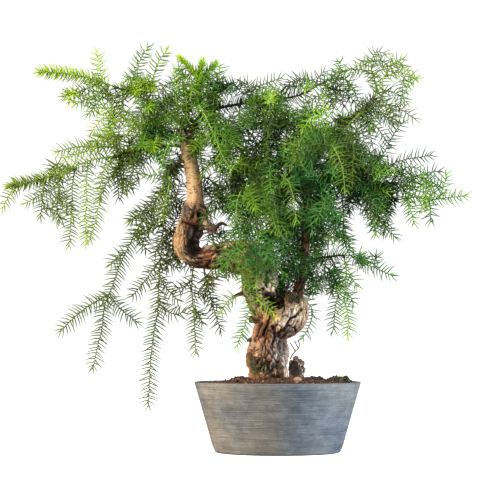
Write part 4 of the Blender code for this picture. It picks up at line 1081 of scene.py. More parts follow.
# %% Tubes and skins
def frames_along(route):
    """For each point of a route: centre, direction, side and up, with hardly any twist, and distance."""
    side = (route[1].to_3d() - route[0].to_3d()).orthogonal().normalized()
    frames, distance = [], 0.0
    for k, point in enumerate(route):
        before, after = route[max(k - 1, 0)].to_3d(), route[min(k + 1, len(route) - 1)].to_3d()
        distance += (point.to_3d() - before).length
        direction = (after - before).normalized()
        side = (side - direction * side.dot(direction)).normalized()
        frames.append((point.to_3d(), direction, side, direction.cross(side), distance))
    return frames


def round_angles(sides):
    return [2 * math.pi * k / sides for k in range(sides)]


def join_rings(bm, rings):
    """Join rings of points by faces; where a ring is one point over and over, the faces are triangles."""
    sides = len(rings[0])
    for lower, upper in zip(rings, rings[1:]):
        for k in range(sides):
            corners = dict.fromkeys((lower[k], lower[(k + 1) % sides], upper[(k + 1) % sides], upper[k]))
            bm.faces.new(list(corners))


def tube_into(bm, route, sides=20):
    """Add a closed tube to a mesh, along a route of (x, y, z, radius)."""
    rings = []
    for (centre, _, side, up, _), point in zip(frames_along(route), route):
        rings.append([bm.verts.new(centre + (side * math.cos(a) + up * math.sin(a)) * point.w)
                      for a in round_angles(sides)])
    join_rings(bm, rings)
    bm.faces.new(reversed(rings[0]))
    bm.faces.new(rings[-1])


def remeshed(thing, voxel):
    """A thing as one skin of small even faces."""
    melt = thing.modifiers.new("melt", "REMESH")
    melt.mode, melt.voxel_size, melt.use_smooth_shade = "VOXEL", voxel, True
    return made_plain(thing)


def melted(name, routes, voxel):
    """The tubes along some routes, melted into one closed skin."""
    bm = bmesh.new()
    for route in routes:
        tube_into(bm, route)
    return remeshed(new_object(name, mesh_from(bm, name)), voxel)


print("points along the limb:", len(frames_along(limb)))

# %% Make the routes of the bare wood
THINNER = 0.55  # the thin branches without the bark that the solids count in
TOP_OF_RIGHT_STEM = 420  # millimetres: above this the right stem is a thin branch too
WOOD_STEP = 4 * MM
SPUR_REACH = 45 * MM
SPUR_RADII = (2.2, 2.0, 1.4)  # millimetres, from the wood to the shoot


def is_thin(name, height):
    return "branch" in name or name == "top right fork" or name == "right stem" and height > TOP_OF_RIGHT_STEM


WOOD_ROUTES = {}
for name, points in WOOD.items():
    points = [(*p[:3], p[3] * (THINNER if is_thin(name, p[2]) else 1.0)) for p in points]
    WOOD_ROUTES[name] = smooth_route(with_radius(points), WOOD_STEP)
spurs = []
for shoot in shoots:
    if shoot.get("main"):
        seat = shoot["route"][0]
        carrier = min(WOOD_ROUTES.values(), key=lambda route: min((p.to_3d() - seat).length for p in route))
        foot = min(carrier, key=lambda p: (p.to_3d() - seat).length).to_3d()
        if (foot - seat).length < SPUR_REACH:
            middle = (foot + seat) / 2
            spurs.append([Vector((*point, radius * MM))
                          for point, radius in zip((foot, middle, seat), SPUR_RADII)])
print("members:", len(WOOD_ROUTES), "spurs:", len(spurs))

# %% Melt the members into a skin
TRUNK_VOXEL, TWIG_VOXEL = 1.5 * MM, 1.3 * MM
THICK_WOOD = ("trunk and shoulder", "limb and stem", "right stem", "dead stub left of the trunk", "knot stub",
              "left fork")

trunk = melted("old_wood", [WOOD_ROUTES[name] for name in THICK_WOOD], TRUNK_VOXEL)
twigs = melted("twigs", [r for n, r in WOOD_ROUTES.items() if n not in THICK_WOOD] + spurs, TWIG_VOXEL)
print("faces of the old wood:", len(trunk.data.polygons), "and of the twigs:", len(twigs.data.polygons))

# %% [markdown]
# ## Bark
#
# Old araucaria bark splits into shaggy ridges with deep cracks between them, and they wind round the trunk.
# To make the pattern follow the wood, each point gets the coordinates it would have if its member were pulled
# straight: across, across, and along. The size of a noise that is stretched along the member has sharp
# valleys where the noise crosses zero, and these are the long cracks. Between them the bark lies in loose
# plates of two sizes. The straight upper part of the stem has smooth, young bark, so the relief nearly stops
# there.
#
# Real marks are put where the photograph shows them: the crack across the pale shoulder, the dark crevice
# between the shoulder and the limb, the scar of a lost branch, the rotten holes in the fork, and the hollow
# where the bark has come off the loop. Each is a line or an oval whose edge is bent by noise. The near-black
# of the crevice and of the loop's hollow is partly painted shade.

# %% List the marks and the colours of the wood
CUTS = [  # lines seen at x, z, with half width and depth, in millimetres
    ([(38, 227), (30, 217), (19, 206), (10, 194), (3, 185)], 1.5, 4.5),
    ([(3, 185), (4, 177), (0, 168)], 2.4, 5.0), ([(23, 201), (15, 195), (8, 188)], 1.3, 4.0),
    ([(22, 198), (28, 197), (28, 191)], 1.3, 4.0), ([(47, 230), (48, 222), (45, 212)], 1.3, 3.0),
    ([(-2, 174), (4, 160)], 1.8, 4.0), ([(12, 172), (4, 150)], 1.4, 4.0),
    ([(-8, 200), (-4, 188), (-10, 172)], 1.8, 4.0), ([(-24, 205), (-30, 190), (-34, 176)], 1.6, 4.0),
    ([(-10, 168), (-4, 156), (-14, 142), (-12, 128)], 1.8, 4.0), ([(-30, 150), (-34, 140)], 2.0, 4.0),
    ([(-48, 164), (-38, 160), (-30, 163)], 1.0, 3.0), ([(-46, 154), (-38, 151), (-28, 153)], 1.0, 3.0),
    ([(-38, 168), (-40, 158), (-37, 147)], 1.0, 3.0), ([(-14, 218), (-20, 200), (-22, 184)], 1.5, 4.0),
    ([(-58, 318), (-72, 326), (-90, 322)], 1.8, 4.0), ([(-40, 268), (-38, 284), (-46, 300)], 1.8, 4.0),
    ([(-16, 262), (-20, 276), (-14, 292), (-22, 308)], 1.8, 4.0),
    ([(-46, 262), (-36, 256), (-20, 258)], 1.8, 4.0),
    ([(-158, 360), (-151, 366), (-139, 365), (-128, 358), (-115, 350)], 1.5, 5.0),
    ([(-157, 392), (-146, 384), (-136, 388)], 1.2, 3.5),
    ([(-152, 378), (-140, 374), (-133, 378)], 1.2, 3.5),
    ([(-148, 318), (-138, 309), (-122, 305), (-104, 306)], 1.2, 3.5),
    ([(-68, 338), (-66, 322), (-74, 306)], 1.6, 4.0),
]
HOLES = [  # ovals seen at x, z, with half width, half height and depth, in millimetres
    # the first three ovals are the crevice between the shoulder and the limb, and those at -135, 346 and
    # -133, 326 the loop's hollow; their near-black is partly painted shade
    (-5, 248, 16, 8, 12), (2, 238, 8, 9, 10), (7, 257, 8, 9, 10), (-123, 377, 6.5, 7, 7),
    (-159.5, 502, 7, 5, 7), (-139, 501.5, 5, 4.5, 7), (-135, 346, 10, 15, 8), (-133, 326, 11, 13, 8),
    (-94, 324, 6, 8, 6), (-127, 357, 8, 6, 6), (4, 180, 3, 5, 5),
]
ZONES = {  # ovals seen at x, z, with half width, half height and strength
    "pale": [
        (34, 220, 18, 15, 0.9), (16, 206, 18, 13, 0.9), (-20, 263, 17, 8, 0.9), (-2, 288, 7, 15, 0.9),
        (-40, 335, 12, 7, 0.8), (-148, 302, 14, 9, 0.5), (-146, 510, 8, 9, 0.9), (-113, 366, 9, 9, 0.7),
        (8, 128, 9, 15, 0.6), (-2, 150, 8, 6, 0.5),
    ],
    # the cream ovals are cream bark with a painted highlight on the sides of the stem, the loop, the fork and
    # the shoulder that face the warm lamp
    "cream_and_highlight": [
        (-139, 432, 7, 38, 0.9), (-147, 474, 7, 24, 0.8), (42, 226, 9, 13, 1.0), (-161, 336, 11, 34, 1.0),
        (-156, 490, 9, 8, 0.9), (-150, 312, 9, 8, 0.7), (-40, 158, 12, 13, 0.2), (-112, 362, 7, 6, 0.6),
        (-78, 322, 8, 10, 0.5),
    ],
    # the oval at -136, 350 is a painted highlight in the loop's hollow; the others are silver weathered wood
    "silver_and_highlight": [
        (1, 161, 15, 17, 0.7), (-133, 512, 7, 10, 0.7), (-4, 140, 10, 10, 0.7), (-136, 350, 5, 7, 0.9),
        (-148, 384, 14, 10, 0.5),
    ],
    "red": [
        (-26, 190, 16, 20, 0.65), (-42, 158, 13, 15, 0.8), (-30, 174, 12, 12, 0.4), (-22, 117, 28, 8, 0.9),
        (-128, 524, 9, 16, 0.9), (-160, 488, 10, 10, 0.8), (46, 318, 8, 50, 0.8), (-100, 300, 26, 8, 0.6),
    ],
    "moss": [
        (-30, 136, 20, 14, 1.0), (-2, 134, 8, 4, 0.6), (46, 366, 10, 22, 0.8), (118, 540, 34, 26, 0.8),
        (-92, 308, 24, 10, 0.5), (26, 248, 16, 10, 0.8), (-128, 475, 10, 14, 0.4),
    ],
    # the dark ovals are mostly painted shade: along the edges of the trunk and the right stem, under the
    # limb, the loop and a stub, and in the crevices; those that lie on moss make the mossy bark darker
    "dark": [
        (38, 330, 4, 90, 0.8), (53, 330, 3, 90, 0.8), (118, 540, 34, 26, 0.5), (-44, 212, 8, 9, 0.9),
        (28, 246, 17, 10, 0.75), (-28, 296, 30, 24, 0.35), (-12, 236, 12, 14, 0.7), (-47, 180, 6, 20, 0.8),
        (-48, 150, 5, 18, 0.8), (-138, 340, 16, 26, 0.5), (-30, 137, 19, 13, 0.6), (-125, 296, 32, 5, 0.8),
        (-84, 300, 30, 8, 0.6), (20, 190, 14, 7, 0.6),
    ],
}
SMOOTH_STEM = ([388, 402, 466, 486, 500], [1.0, 0.07, 0.07, 0.5, 0.9])  # height seen, and roughness there
RIDGE_HEIGHT = {"trunk and shoulder": 7.5, "limb and stem": 6.5, "right stem": 1.8}  # millimetres
SMALL_RIDGE_HEIGHT = 1.2  # and for all others
print("marks:", len(CUTS) + len(HOLES), "zones:", sum(len(marks) for marks in ZONES.values()))

# %% Pull the skin straight
TWIST = 7.0  # radians that the bark winds round the trunk in each metre


def straightened(points, routes):
    """For each point: its coordinates on the straightened member, and the member's number."""
    samples = [(*frame, point.w, number) for number, route in enumerate(routes)
               for frame, point in zip(frames_along(route), route)]
    centres, directions, sides, ups = (np.array([sample[k] for sample in samples]) for k in range(4))
    distances, radii, numbers = (np.array([sample[k] for sample in samples]) for k in (4, 5, 6))
    nearest = np.concatenate([
        (np.linalg.norm(part[:, None] - centres[None], axis=2) - radii[None]).argmin(axis=1)
        for part in np.array_split(points, max(1, len(points) // 3000))])
    away = points - centres[nearest]
    ahead = (away * directions[nearest]).sum(1)
    across = (away * sides[nearest]).sum(1)
    upwards = (away * ups[nearest]).sum(1)
    distance = distances[nearest] + ahead
    angle = distance * TWIST
    grain = np.stack([across * np.cos(angle) - upwards * np.sin(angle),
                      across * np.sin(angle) + upwards * np.cos(angle),
                      distance + 0.7 * numbers[nearest]], axis=1)
    return grain, numbers[nearest]


right_stem = WOOD_ROUTES["right stem"]
top_grain, _ = straightened(np.array([tuple(right_stem[-1].to_3d())]), [right_stem])
print("the top of the right stem, pulled straight:", top_grain.round(3)[0])

# %% Patterns of the bark
BARK_SEED = 3
noise.seed_set(BARK_SEED)  # without it noise_vector would change with the clock


def ridges(g, across, along):
    """A shaggy ridge pattern on the straightened wood: 0 in a crack and up to 1 on a ridge."""
    wander = noise.noise_vector(g * (across * 0.3)) * 0.4
    stretched = Vector((g.x * across, g.y * across, g.z * along)) + wander
    return min(1.0, abs(noise.noise(stretched)) * 2.6)


def flakes(g, across, along):
    """Loose plates: the height in a plate, how far from its edge (0 to 1), and the plate's own value."""
    wander = noise.noise_vector(g * (across * 0.6)) * 0.6
    stretched = Vector((g.x * across, g.y * across, g.z * along)) + wander
    distances, centres = noise.voronoi(stretched)
    own = 0.5 + 0.5 * noise.noise(centres[0] * 3.7)
    edge = min(1.0, (distances[1] - distances[0]) * 2.4)
    lift = 0.25 * (stretched.z - centres[0].z)
    return edge**0.6 * (0.55 + 0.6 * own) + lift, edge, own


def bark_at(g):
    """The height of the bark, how far out of a seam it is (0 to 1), and the plate's own value."""
    large, edge, own = flakes(g, 100, 38)
    small, small_edge, small_own = flakes(g, 230, 100)
    groove = 0.12 + ridges(g, 58, 15) * 1.9
    seam = min(1.0, groove, 0.1 + edge * 1.9, 0.35 + small_edge * 1.6)
    lumps = noise.noise(g * 42)
    return 0.55 * seam + 0.22 * large + 0.13 * small + 0.32 * lumps, seam, 0.55 * own + 0.45 * small_own


print("bark at one point:", [round(value, 2) for value in bark_at(Vector((0.02, 0.01, 0.1)))])

# %% Find and carve the marks
def oval_mask(x, z, mark, soft=0.3):
    """1 inside an oval (x, z, half width, half height) and 0 outside, with a soft edge."""
    reach = np.hypot((x - mark[0]) / mark[2], (z - mark[1]) / mark[3])
    return np.clip((1 + soft - reach) / (2 * soft), 0, 1)


def line_mask(x, z, line, half_width):
    """1 along a line of (x, z) points and 0 away from it."""
    best = np.full(len(x), 1e3)  # the distance to the line
    for (ax, az), (bx, bz) in zip(line, line[1:]):
        along = (x - ax) * (bx - ax) + (z - az) * (bz - az)
        share = np.clip(along / ((bx - ax) ** 2 + (bz - az) ** 2), 0, 1)
        best = np.minimum(best, np.hypot(x - ax - share * (bx - ax), z - az - share * (bz - az)))
    return np.clip(1.6 - best / half_width, 0, 1)


def marks_at(x, z, wobble, facing):
    """For each point: how strong the hollow and each zone are there, and how far it sinks in millimetres."""
    values = {label: np.zeros(len(x)) for label in ("hollow", *ZONES)}
    sink = np.zeros(len(x))
    marks = [(oval_mask(x, z, mark), mark[4]) for mark in HOLES]
    marks += [(line_mask(x, z, line, half_width * (1 + 0.14 * wobble)), depth)
              for line, half_width, depth in CUTS]
    for inside, depth in marks:
        inside = inside * facing
        values["hollow"] = np.maximum(values["hollow"], inside)
        sink = np.maximum(sink, inside * depth)
    for label, ovals in ZONES.items():
        for oval in ovals:
            values[label] = np.maximum(values[label], oval_mask(x, z, oval, 0.45) * oval[4] * facing)
    return values, sink


print("in the middle of an oval:", oval_mask(np.array([34.0]), np.array([220.0]), ZONES["pale"][0])[0])

# %% Carve the bark
THIN_WOOD_RIDGES = 0.5  # millimetres
THIN_WOOD_DARK, THIN_WOOD_MOSS = 0.62, 0.7  # the thin branches in the crown are old, dark and mossy
BARK_LEVEL = 0.6  # where the pattern has this height, the skin stays where it is
MARK_WOBBLE, WOBBLE_SCALE = 5, 75  # how far noise bends a mark's edge, in millimetres, and how fine it is


def carve(thing, names, marked):
    """Displace a skin into bark, and keep its grain, height and zones as attributes."""
    mesh = thing.data
    count = len(mesh.vertices)
    points, normals = np.zeros(count * 3), np.zeros(count * 3)
    mesh.vertices.foreach_get("co", points)
    mesh.vertices.foreach_get("normal", normals)
    points, normals = points.reshape(-1, 3), normals.reshape(-1, 3)
    grain, members = straightened(points, [WOOD_ROUTES[name] for name in names])
    x, z = as_seen(points)
    limb = names.index("limb and stem") if marked else -1
    rough = np.where((members == limb) & (x < -100), np.interp(z, *SMOOTH_STEM), 1.0)
    small = SMALL_RIDGE_HEIGHT if marked else THIN_WOOD_RIDGES
    reach = np.array([RIDGE_HEIGHT.get(name, small) for name in names])[members]
    facing = np.clip(-normals[:, 1] * 1.8 + 0.2, 0, 1) if marked else np.zeros(count)
    height, seam, plate, warp = np.empty(count), np.empty(count), np.empty(count), np.empty((count, 3))
    for k, place_on_grain in enumerate(grain):
        g = Vector(place_on_grain)
        height[k], seam[k], plate[k] = bark_at(g)
        warp[k] = noise.noise_vector(g * WOBBLE_SCALE) * MARK_WOBBLE
    values, sink = marks_at(x + warp[:, 0], z + warp[:, 1], warp[:, 2], facing)
    if not marked:
        values["dark"] += THIN_WOOD_DARK
        values["moss"] += THIN_WOOD_MOSS
    reach = reach * (0.1 + 0.9 * rough) * (1 - 0.5 * values["pale"])
    points = points + normals * ((height - BARK_LEVEL) * reach - sink)[:, None] * MM
    mesh.vertices.foreach_set("co", points.ravel())
    values |= {"height": height, "seam": seam, "rough": rough, "plate": plate}
    for label, numbers in values.items():
        mesh.attributes.new(label, "FLOAT", "POINT").data.foreach_set("value", numbers)
    mesh.attributes.new("grain", "FLOAT_VECTOR", "POINT").data.foreach_set("vector", grain.ravel())
    mesh.update()
    return height


bark_height = carve(trunk, list(THICK_WOOD), True)
carve(twigs, [name for name in WOOD if name not in THICK_WOOD], False)
print("height of the bark pattern:", round(bark_height.min(), 2), "to", round(bark_height.max(), 2))

# %% [markdown]
# The colour of the bark follows the same coordinates. Cracks and hollows are nearly black, ridges are brown
# with lighter crests and thin fibres, and the zones shift them to the pale pink of the shoulder, the silver
# of weathered wood, the red of fresh bark or the green of moss. A cream zone adds cream bark with a painted
# highlight on the sides that face the warm lamp, and a silver oval adds a painted highlight in the loop's
# hollow. A dark zone adds painted shade along edges, under the limb and the loop and in the crevices, and
# darkens the mossy bark; the near-black of the crevice and of the loop's hollow is partly painted shade too.
# Patches of the same colours lie all round, so the back is no duller than the front. The smooth stem is tan,
# with small dark breathing pores that lie across it.

# %% Paint the bark
def bark_material():
    made, tree, shader = new_material("bark", 0.85)
    grain, height = attribute(tree, "grain", 1), attribute(tree, "height")
    rough, hollow = attribute(tree, "rough"), attribute(tree, "hollow")
    fibres, bands, stains, reds = (
        use_group(tree, STREAKS, {"Vector": grain, "Across": across, "Contrast": contrast, "Warp": warp})
        for across, contrast, warp in (((420, 420, 90), 3.0, 0.5), ((150, 150, 60), 3.0, 0.8),
                                       ((62, 62, 24), 4.0, 0.8), ((48, 52, 17), 5.0, 0.5)))
    tone = maths(tree, "ADD", maths(tree, "MULTIPLY", attribute(tree, "plate"), 2.2), -0.6)
    tone = maths(tree, "ADD", maths(tree, "MULTIPLY", tone, 0.6), maths(tree, "MULTIPLY", bands, 0.4))
    colour = mixed(tree, tone, rgb(84, 56, 40), rgb(196, 156, 124))
    colour = mixed(tree, ramp(tree, stains, 0.55, 1.0, 0.0, 0.8), colour, rgb(186, 170, 154))
    colour = mixed(tree, ramp(tree, reds, 0.6, 1.0, 0.0, 0.8), colour, rgb(150, 90, 58))
    # the cream zone lays a painted highlight over cream bark
    for zone, dark, light in (("red", rgb(84, 44, 28), rgb(184, 116, 74)),
                              ("silver_and_highlight", rgb(96, 84, 76), rgb(226, 214, 202)),
                              ("pale", rgb(208, 162, 134), rgb(255, 236, 212)),
                              ("cream_and_highlight", rgb(246, 188, 124), rgb(255, 240, 200))):
        colour = mixed(tree, attribute(tree, zone), colour, mixed(tree, tone, dark, light))
    colour = shaded(tree, colour, ramp(tree, fibres, 0.0, 1.0, 0.58, 1.18))
    # the dark zone: mostly painted shade on edges, undersides and crevices, and darker mossy bark
    colour = shaded(tree, colour, ramp(tree, attribute(tree, "dark"), 0.0, 1.0, 1.0, 0.25))
    # cracks show less in pale bark and under the painted highlight
    pale_and_highlit_wood = maths(tree, "MAXIMUM", attribute(tree, "pale"), attribute(tree, "cream_and_highlight"))
    cracks = ramp(tree, attribute(tree, "seam"), 0.2, 0.6, 1.0, 0.0)
    cracks = maths(tree, "MULTIPLY", cracks, ramp(tree, pale_and_highlit_wood, 0.0, 1.0, 0.96, 0.62))
    colour = mixed(tree, cracks, colour, rgb(30, 17, 11))
    crests = ramp(tree, height, 0.85, 1.2, 0.0, 0.5)
    rough_colour = mixed(tree, crests, colour, rgb(236, 202, 168))

    blotches = use_group(tree, PATCHES, {"Vector": grain, "Scale": 40.0, "Share": 0.5, "Softness": 0.14})
    young_bark = mixed(tree, blotches, rgb(242, 186, 128), rgb(204, 156, 124))
    # a painted highlight on the lit side of the smooth stem
    young_bark = mixed(tree, attribute(tree, "cream_and_highlight"), young_bark, rgb(255, 222, 172))
    pores = use_group(tree, STREAKS, {"Vector": grain, "Across": (150, 150, 520), "Contrast": 5.0})
    young_bark = mixed(tree, ramp(tree, pores, 0.8, 1.0, 0.0, 0.8), young_bark, rgb(96, 60, 38))
    colour = mixed(tree, ramp(tree, rough, 0.15, 0.75, 0.0, 1.0), young_bark, rough_colour)

    moss = use_group(tree, PATCHES, {"Vector": place(tree), "Scale": 110.0, "Share": 0.6, "Softness": 0.08})
    moss = maths(tree, "MULTIPLY", moss, attribute(tree, "moss"))
    colour = mixed(tree, moss, colour, mixed(tree, fibres, rgb(22, 26, 12), rgb(72, 80, 36)))
    # hollows are near black, partly painted shade in the crevice and the loop's hollow
    dark_hollow = mixed(tree, ramp(tree, tone, 0.3, 0.9, 0.0, 1.0), rgb(18, 11, 8), rgb(112, 84, 64))
    # the silver zone puts pale ribs and a painted highlight into the loop's hollow
    ribs_and_highlight = mixed(tree, attribute(tree, "silver_and_highlight"), dark_hollow, rgb(172, 160, 150))
    colour = mixed(tree, ramp(tree, hollow, 0.2, 0.8, 0.0, 1.0), colour, ribs_and_highlight)
    tree.links.new(colour, shader.inputs["Base Color"])
    tree.links.new(ramp(tree, rough, 0.1, 0.9, 0.55, 0.9), shader.inputs["Roughness"])
    grit = use_group(tree, GRAIN, {"Vector": grain, "Scale": 900.0, "Contrast": 1.5})
    relief = maths(tree, "ADD", maths(tree, "MULTIPLY", fibres, 0.7), maths(tree, "MULTIPLY", grit, 0.3))
    add_bump(tree, shader, relief, 1.2 * MM)
    return made


BARK = bark_material()
for piece in (trunk, twigs):
    piece.data.materials.append(BARK)
    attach(piece, "root")
    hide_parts("trunk")
print("triangles of the wood:", triangles(trunk) + triangles(twigs))

# %% [markdown]
# ## The pot
#
# The pot is turned: one outline goes round the upright axis. The outline is that of the solid, with a softly
# rounded lip and foot. Its grey finish is brushed round the pot, so the streaks lie level, and big soft
# clouds of blue and warm grey lie over them.

# %% Turn the pot
POT_HEIGHT, POT_RIM, POT_BASE = 112.0, 133.0, 101.0
WALL, POT_BOTTOM, LIP, FOOT = 4.0, 5.0, 1.1, 5.0
RIM_INSET = 0.3  # how far the rim's rounding stays inside the solid
WALL_HEIGHTS = range(12, 108, 8)  # of the rings between the foot's rounding and the lip's


def outer_radius(height):
    return POT_BASE + (POT_RIM - POT_BASE) * height / POT_HEIGHT


def arc(radius, height, size, start, end, count=6):
    """Points on an arc round (radius, height), from one angle to another in degrees."""
    angles = [math.radians(start + (end - start) * k / count) for k in range(count + 1)]
    return [(radius + size * math.cos(a), height + size * math.sin(a)) for a in angles]


def turned(name, outline, sides):
    """A closed body turned round the Z axis from (radius, height) points in millimetres."""
    bm = bmesh.new()
    rings = []
    for radius, height in outline:
        if radius == 0:
            rings.append([bm.verts.new((0, 0, height * MM))] * sides)
            continue
        rings.append([bm.verts.new((radius * MM * math.cos(a), radius * MM * math.sin(a), height * MM))
                      for a in round_angles(sides)])
    join_rings(bm, rings)
    bmesh.ops.recalc_face_normals(bm, faces=bm.faces)
    mesh = mesh_from(bm, name, smooth=True)
    mesh.set_sharp_from_angle(angle=math.radians(50))
    return new_object(name, mesh)


outline = [(0, 0), *arc(POT_BASE - FOOT, FOOT, FOOT, -90, -14)]
outline += [(outer_radius(height), height) for height in WALL_HEIGHTS]
outline += arc(POT_RIM - RIM_INSET - LIP, POT_HEIGHT - LIP, LIP, 0, 90)
outline += arc(POT_RIM - WALL + LIP, POT_HEIGHT - LIP, LIP, 90, 180)
outline += [(outer_radius(POT_BOTTOM) - WALL, POT_BOTTOM), (0, POT_BOTTOM)]
pot = turned("turned_pot", outline, 160)
print("points of the pot's outline:", len(outline))

# %% Paint the pot
def pot_material():
    made, tree, shader = new_material("brushed grey", 0.5)
    here = place(tree)
    clouds = use_group(tree, PATCHES, {"Vector": here, "Scale": 12.0, "Share": 0.52, "Softness": 0.14})
    small_clouds = use_group(tree, PATCHES, {"Vector": here, "Scale": 46.0, "Share": 0.5, "Softness": 0.2})
    brushed, wide = (
        use_group(tree, STREAKS, {"Vector": here, "Across": across, "Detail": detail, "Contrast": contrast})
        for across, detail, contrast in (((22, 22, 560), 6.0, 3.2), ((12, 12, 120), 3.0, 3.0)))
    grain = use_group(tree, GRAIN, {"Vector": here, "Scale": 700.0, "Contrast": 3.0})
    colour = mixed(tree, clouds, rgb(105, 105, 102), rgb(74, 84, 96))
    colour = mixed(tree, maths(tree, "MULTIPLY", small_clouds, 0.3), colour, rgb(160, 160, 156))
    shade = maths(tree, "ADD", maths(tree, "MULTIPLY", brushed, 0.34), maths(tree, "MULTIPLY", wide, 0.26))
    shade = maths(tree, "ADD", shade, maths(tree, "MULTIPLY", grain, 0.2))
    colour = shaded(tree, colour, maths(tree, "ADD", shade, 0.55))
    level = add_node(tree, "ShaderNodeSeparateXYZ", {0: here}, out=2)
    colour = mixed(tree, ramp(tree, level, 0.1085, 0.1100, 0.0, 0.55), colour, rgb(84, 86, 88))
    tree.links.new(colour, shader.inputs["Base Color"])
    tree.links.new(ramp(tree, brushed, 0.0, 1.0, 0.42, 0.6), shader.inputs["Roughness"])
    add_bump(tree, shader, maths(tree, "ADD", brushed, grain), 0.2 * MM)
    return made


pot.data.materials.append(pot_material())
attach(pot, "root")
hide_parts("pot")
print("triangles of the pot:", triangles(pot))

# %% [markdown]
# ## The soil
#
# The potting mix is made of dark crumbs, reddish bits of bark near the trunk, and a little moss on the right.
# Under them is a plain mound with the solid's own shape. The crumbs are scattered by a second tree of
# Geometry Nodes: it spreads points over the mound, puts a rough pebble on each, and bends every pebble with a
# noise, so that no two are the same. How thick they lie is painted on the mound's points.

# %% Build the mound
SOIL_EDGE, SOIL_CROWN = 104.0, 12.0
SOIL_HEAPS = [(-60, -10, 6, 15), (58, 0, 6, 16), (43, -34, 5, 9), (92, -12, 11, 12), (110, -8, 14, 9),
              (30, 70, 5, 24)]
SOIL_RIPPLES, SOIL_ROUGHNESS = 1.2, 1.3
SOIL_BOTTOM = 5.3  # just above the pot's floor
SOIL_INSET = 4.4   # from the pot's outside


def soil_height(x, y):
    """The height of the soil, in millimetres: a low crown with a few heaps."""
    share = min(1.0, math.hypot(x, y) / POT_RIM)
    height = SOIL_EDGE + SOIL_CROWN * (1 - share**2)
    for at_x, at_y, rise, width in SOIL_HEAPS:
        height += rise * math.exp(-((x - at_x) ** 2 + (y - at_y) ** 2) / width**2)
    return height + SOIL_RIPPLES * math.sin(x * 0.19 + 1.3) * math.cos(y * 0.17)


def mound_mesh(name, rings, sides, closed, weight=None):
    """The top of the soil, closed down to the pot's floor or open, with a weight on each point."""
    top = outer_radius(SOIL_EDGE) - SOIL_INSET
    bm = bmesh.new()
    grid = [[bm.verts.new((0, 0, soil_height(0, 0) * MM))] * sides]
    for k in range(1, rings + 1):
        radius = top * k / rings
        ring = []
        for a in round_angles(sides):
            x, y = radius * math.cos(a), radius * math.sin(a)
            rough = SOIL_ROUGHNESS * noise.noise(Vector((x, y, 0)) * 0.16)
            level = soil_height(x, y) + rough if k < rings else SOIL_EDGE
            ring.append(bm.verts.new((x * MM, y * MM, level * MM)))
        grid.append(ring)
    if closed:
        low = outer_radius(SOIL_BOTTOM) - SOIL_INSET
        grid.append([bm.verts.new((low * MM * math.cos(a), low * MM * math.sin(a), SOIL_BOTTOM * MM))
                     for a in round_angles(sides)])
        grid.append([bm.verts.new((0, 0, SOIL_BOTTOM * MM))] * sides)
    for inner, outer in zip(grid, grid[1:]):
        for k in range(sides):
            corners = dict.fromkeys((inner[k], outer[k], outer[(k + 1) % sides], inner[(k + 1) % sides]))
            bm.faces.new(list(corners))
    bmesh.ops.recalc_face_normals(bm, faces=bm.faces)
    mesh = mesh_from(bm, name, smooth=True)
    if weight:
        values = [weight(v.co.x / MM, v.co.y / MM) for v in mesh.vertices]
        mesh.attributes.new("where", "FLOAT", "POINT").data.foreach_set("value", values)
    return mesh


soil = new_object("soil_mound", mound_mesh("soil_mound", 50, 120, True))
print("highest soil:", round(max(v.co.z for v in soil.data.vertices), 4), "m")

# %% Build the scatter tree
def scatter_tree():
    tree, given, result = new_tree("crumbs on a mound", "Geometry", [
        GEOMETRY, ("Density", "Float", 1e5), ("Smallest", "Float", MM), ("Largest", "Float", 3 * MM),
        ("Flatness", "Float", 0.7), ("Stretch", "Float", 1.0), ("Roughness", "Float", 0.5),
        ("Seed", "Int", 1), ("Material", "Material", None)], [GEOMETRY])
    where = add_node(tree, "GeometryNodeInputNamedAttribute", {"Name": "where"}, data_type="FLOAT")
    points = add_node(tree, "GeometryNodeDistributePointsOnFaces", {
        "Mesh": given["Geometry"], "Density": maths(tree, "MULTIPLY", given["Density"], where),
        "Seed": given["Seed"]})
    crumb = add_node(tree, "GeometryNodeMeshIcoSphere", {"Radius": 1.0, "Subdivisions": 1})
    size = maths(tree, "POWER", between(tree, 0.0, 1.0, given["Seed"]), 2.0)
    size = ramp(tree, size, 0.0, 1.0, given["Smallest"], given["Largest"], "LINEAR")
    long_side = maths(tree, "MULTIPLY", size, given["Stretch"])
    flat_side = maths(tree, "MULTIPLY", size, given["Flatness"])
    scale = add_node(tree, "ShaderNodeCombineXYZ", {"X": long_side, "Y": size, "Z": flat_side})
    spin = add_node(tree, "FunctionNodeRandomValue", {
        0: (-0.9, -0.9, 0.0), 1: (0.9, 0.9, math.tau), "Seed": given["Seed"]}, data_type="FLOAT_VECTOR")
    crumbs = add_node(tree, "GeometryNodeInstanceOnPoints", {
        "Points": points, "Instance": crumb, "Rotation": spin, "Scale": scale})
    crumbs = store(
        tree, crumbs, "chance", between(tree, 0.0, 1.0, maths(tree, "ADD", given["Seed"], 5)), "INSTANCE")
    crumbs = store(tree, crumbs, "size", size, "INSTANCE")
    crumbs = add_node(tree, "GeometryNodeRealizeInstances", {"Geometry": crumbs})
    wobble = add_node(tree, "ShaderNodeTexNoise", {"Scale": 420.0, "Detail": 1.0}, out=1)
    wobble = add_node(tree, "ShaderNodeVectorMath", {0: wobble, 1: (0.5, 0.5, 0.5)}, operation="SUBTRACT")
    own_size = add_node(tree, "GeometryNodeInputNamedAttribute", {"Name": "size"}, data_type="FLOAT")
    far = maths(tree, "MULTIPLY", maths(tree, "MULTIPLY", own_size, given["Roughness"]), 4.0)
    push = add_node(tree, "ShaderNodeVectorMath", {0: wobble, "Scale": far}, operation="SCALE")
    crumbs = add_node(tree, "GeometryNodeSetPosition", {"Geometry": crumbs, "Offset": push})
    crumbs = add_node(tree, "GeometryNodeSetMaterial", {"Geometry": crumbs, "Material": given["Material"]})
    tree.links.new(crumbs, result[0])
    return tree


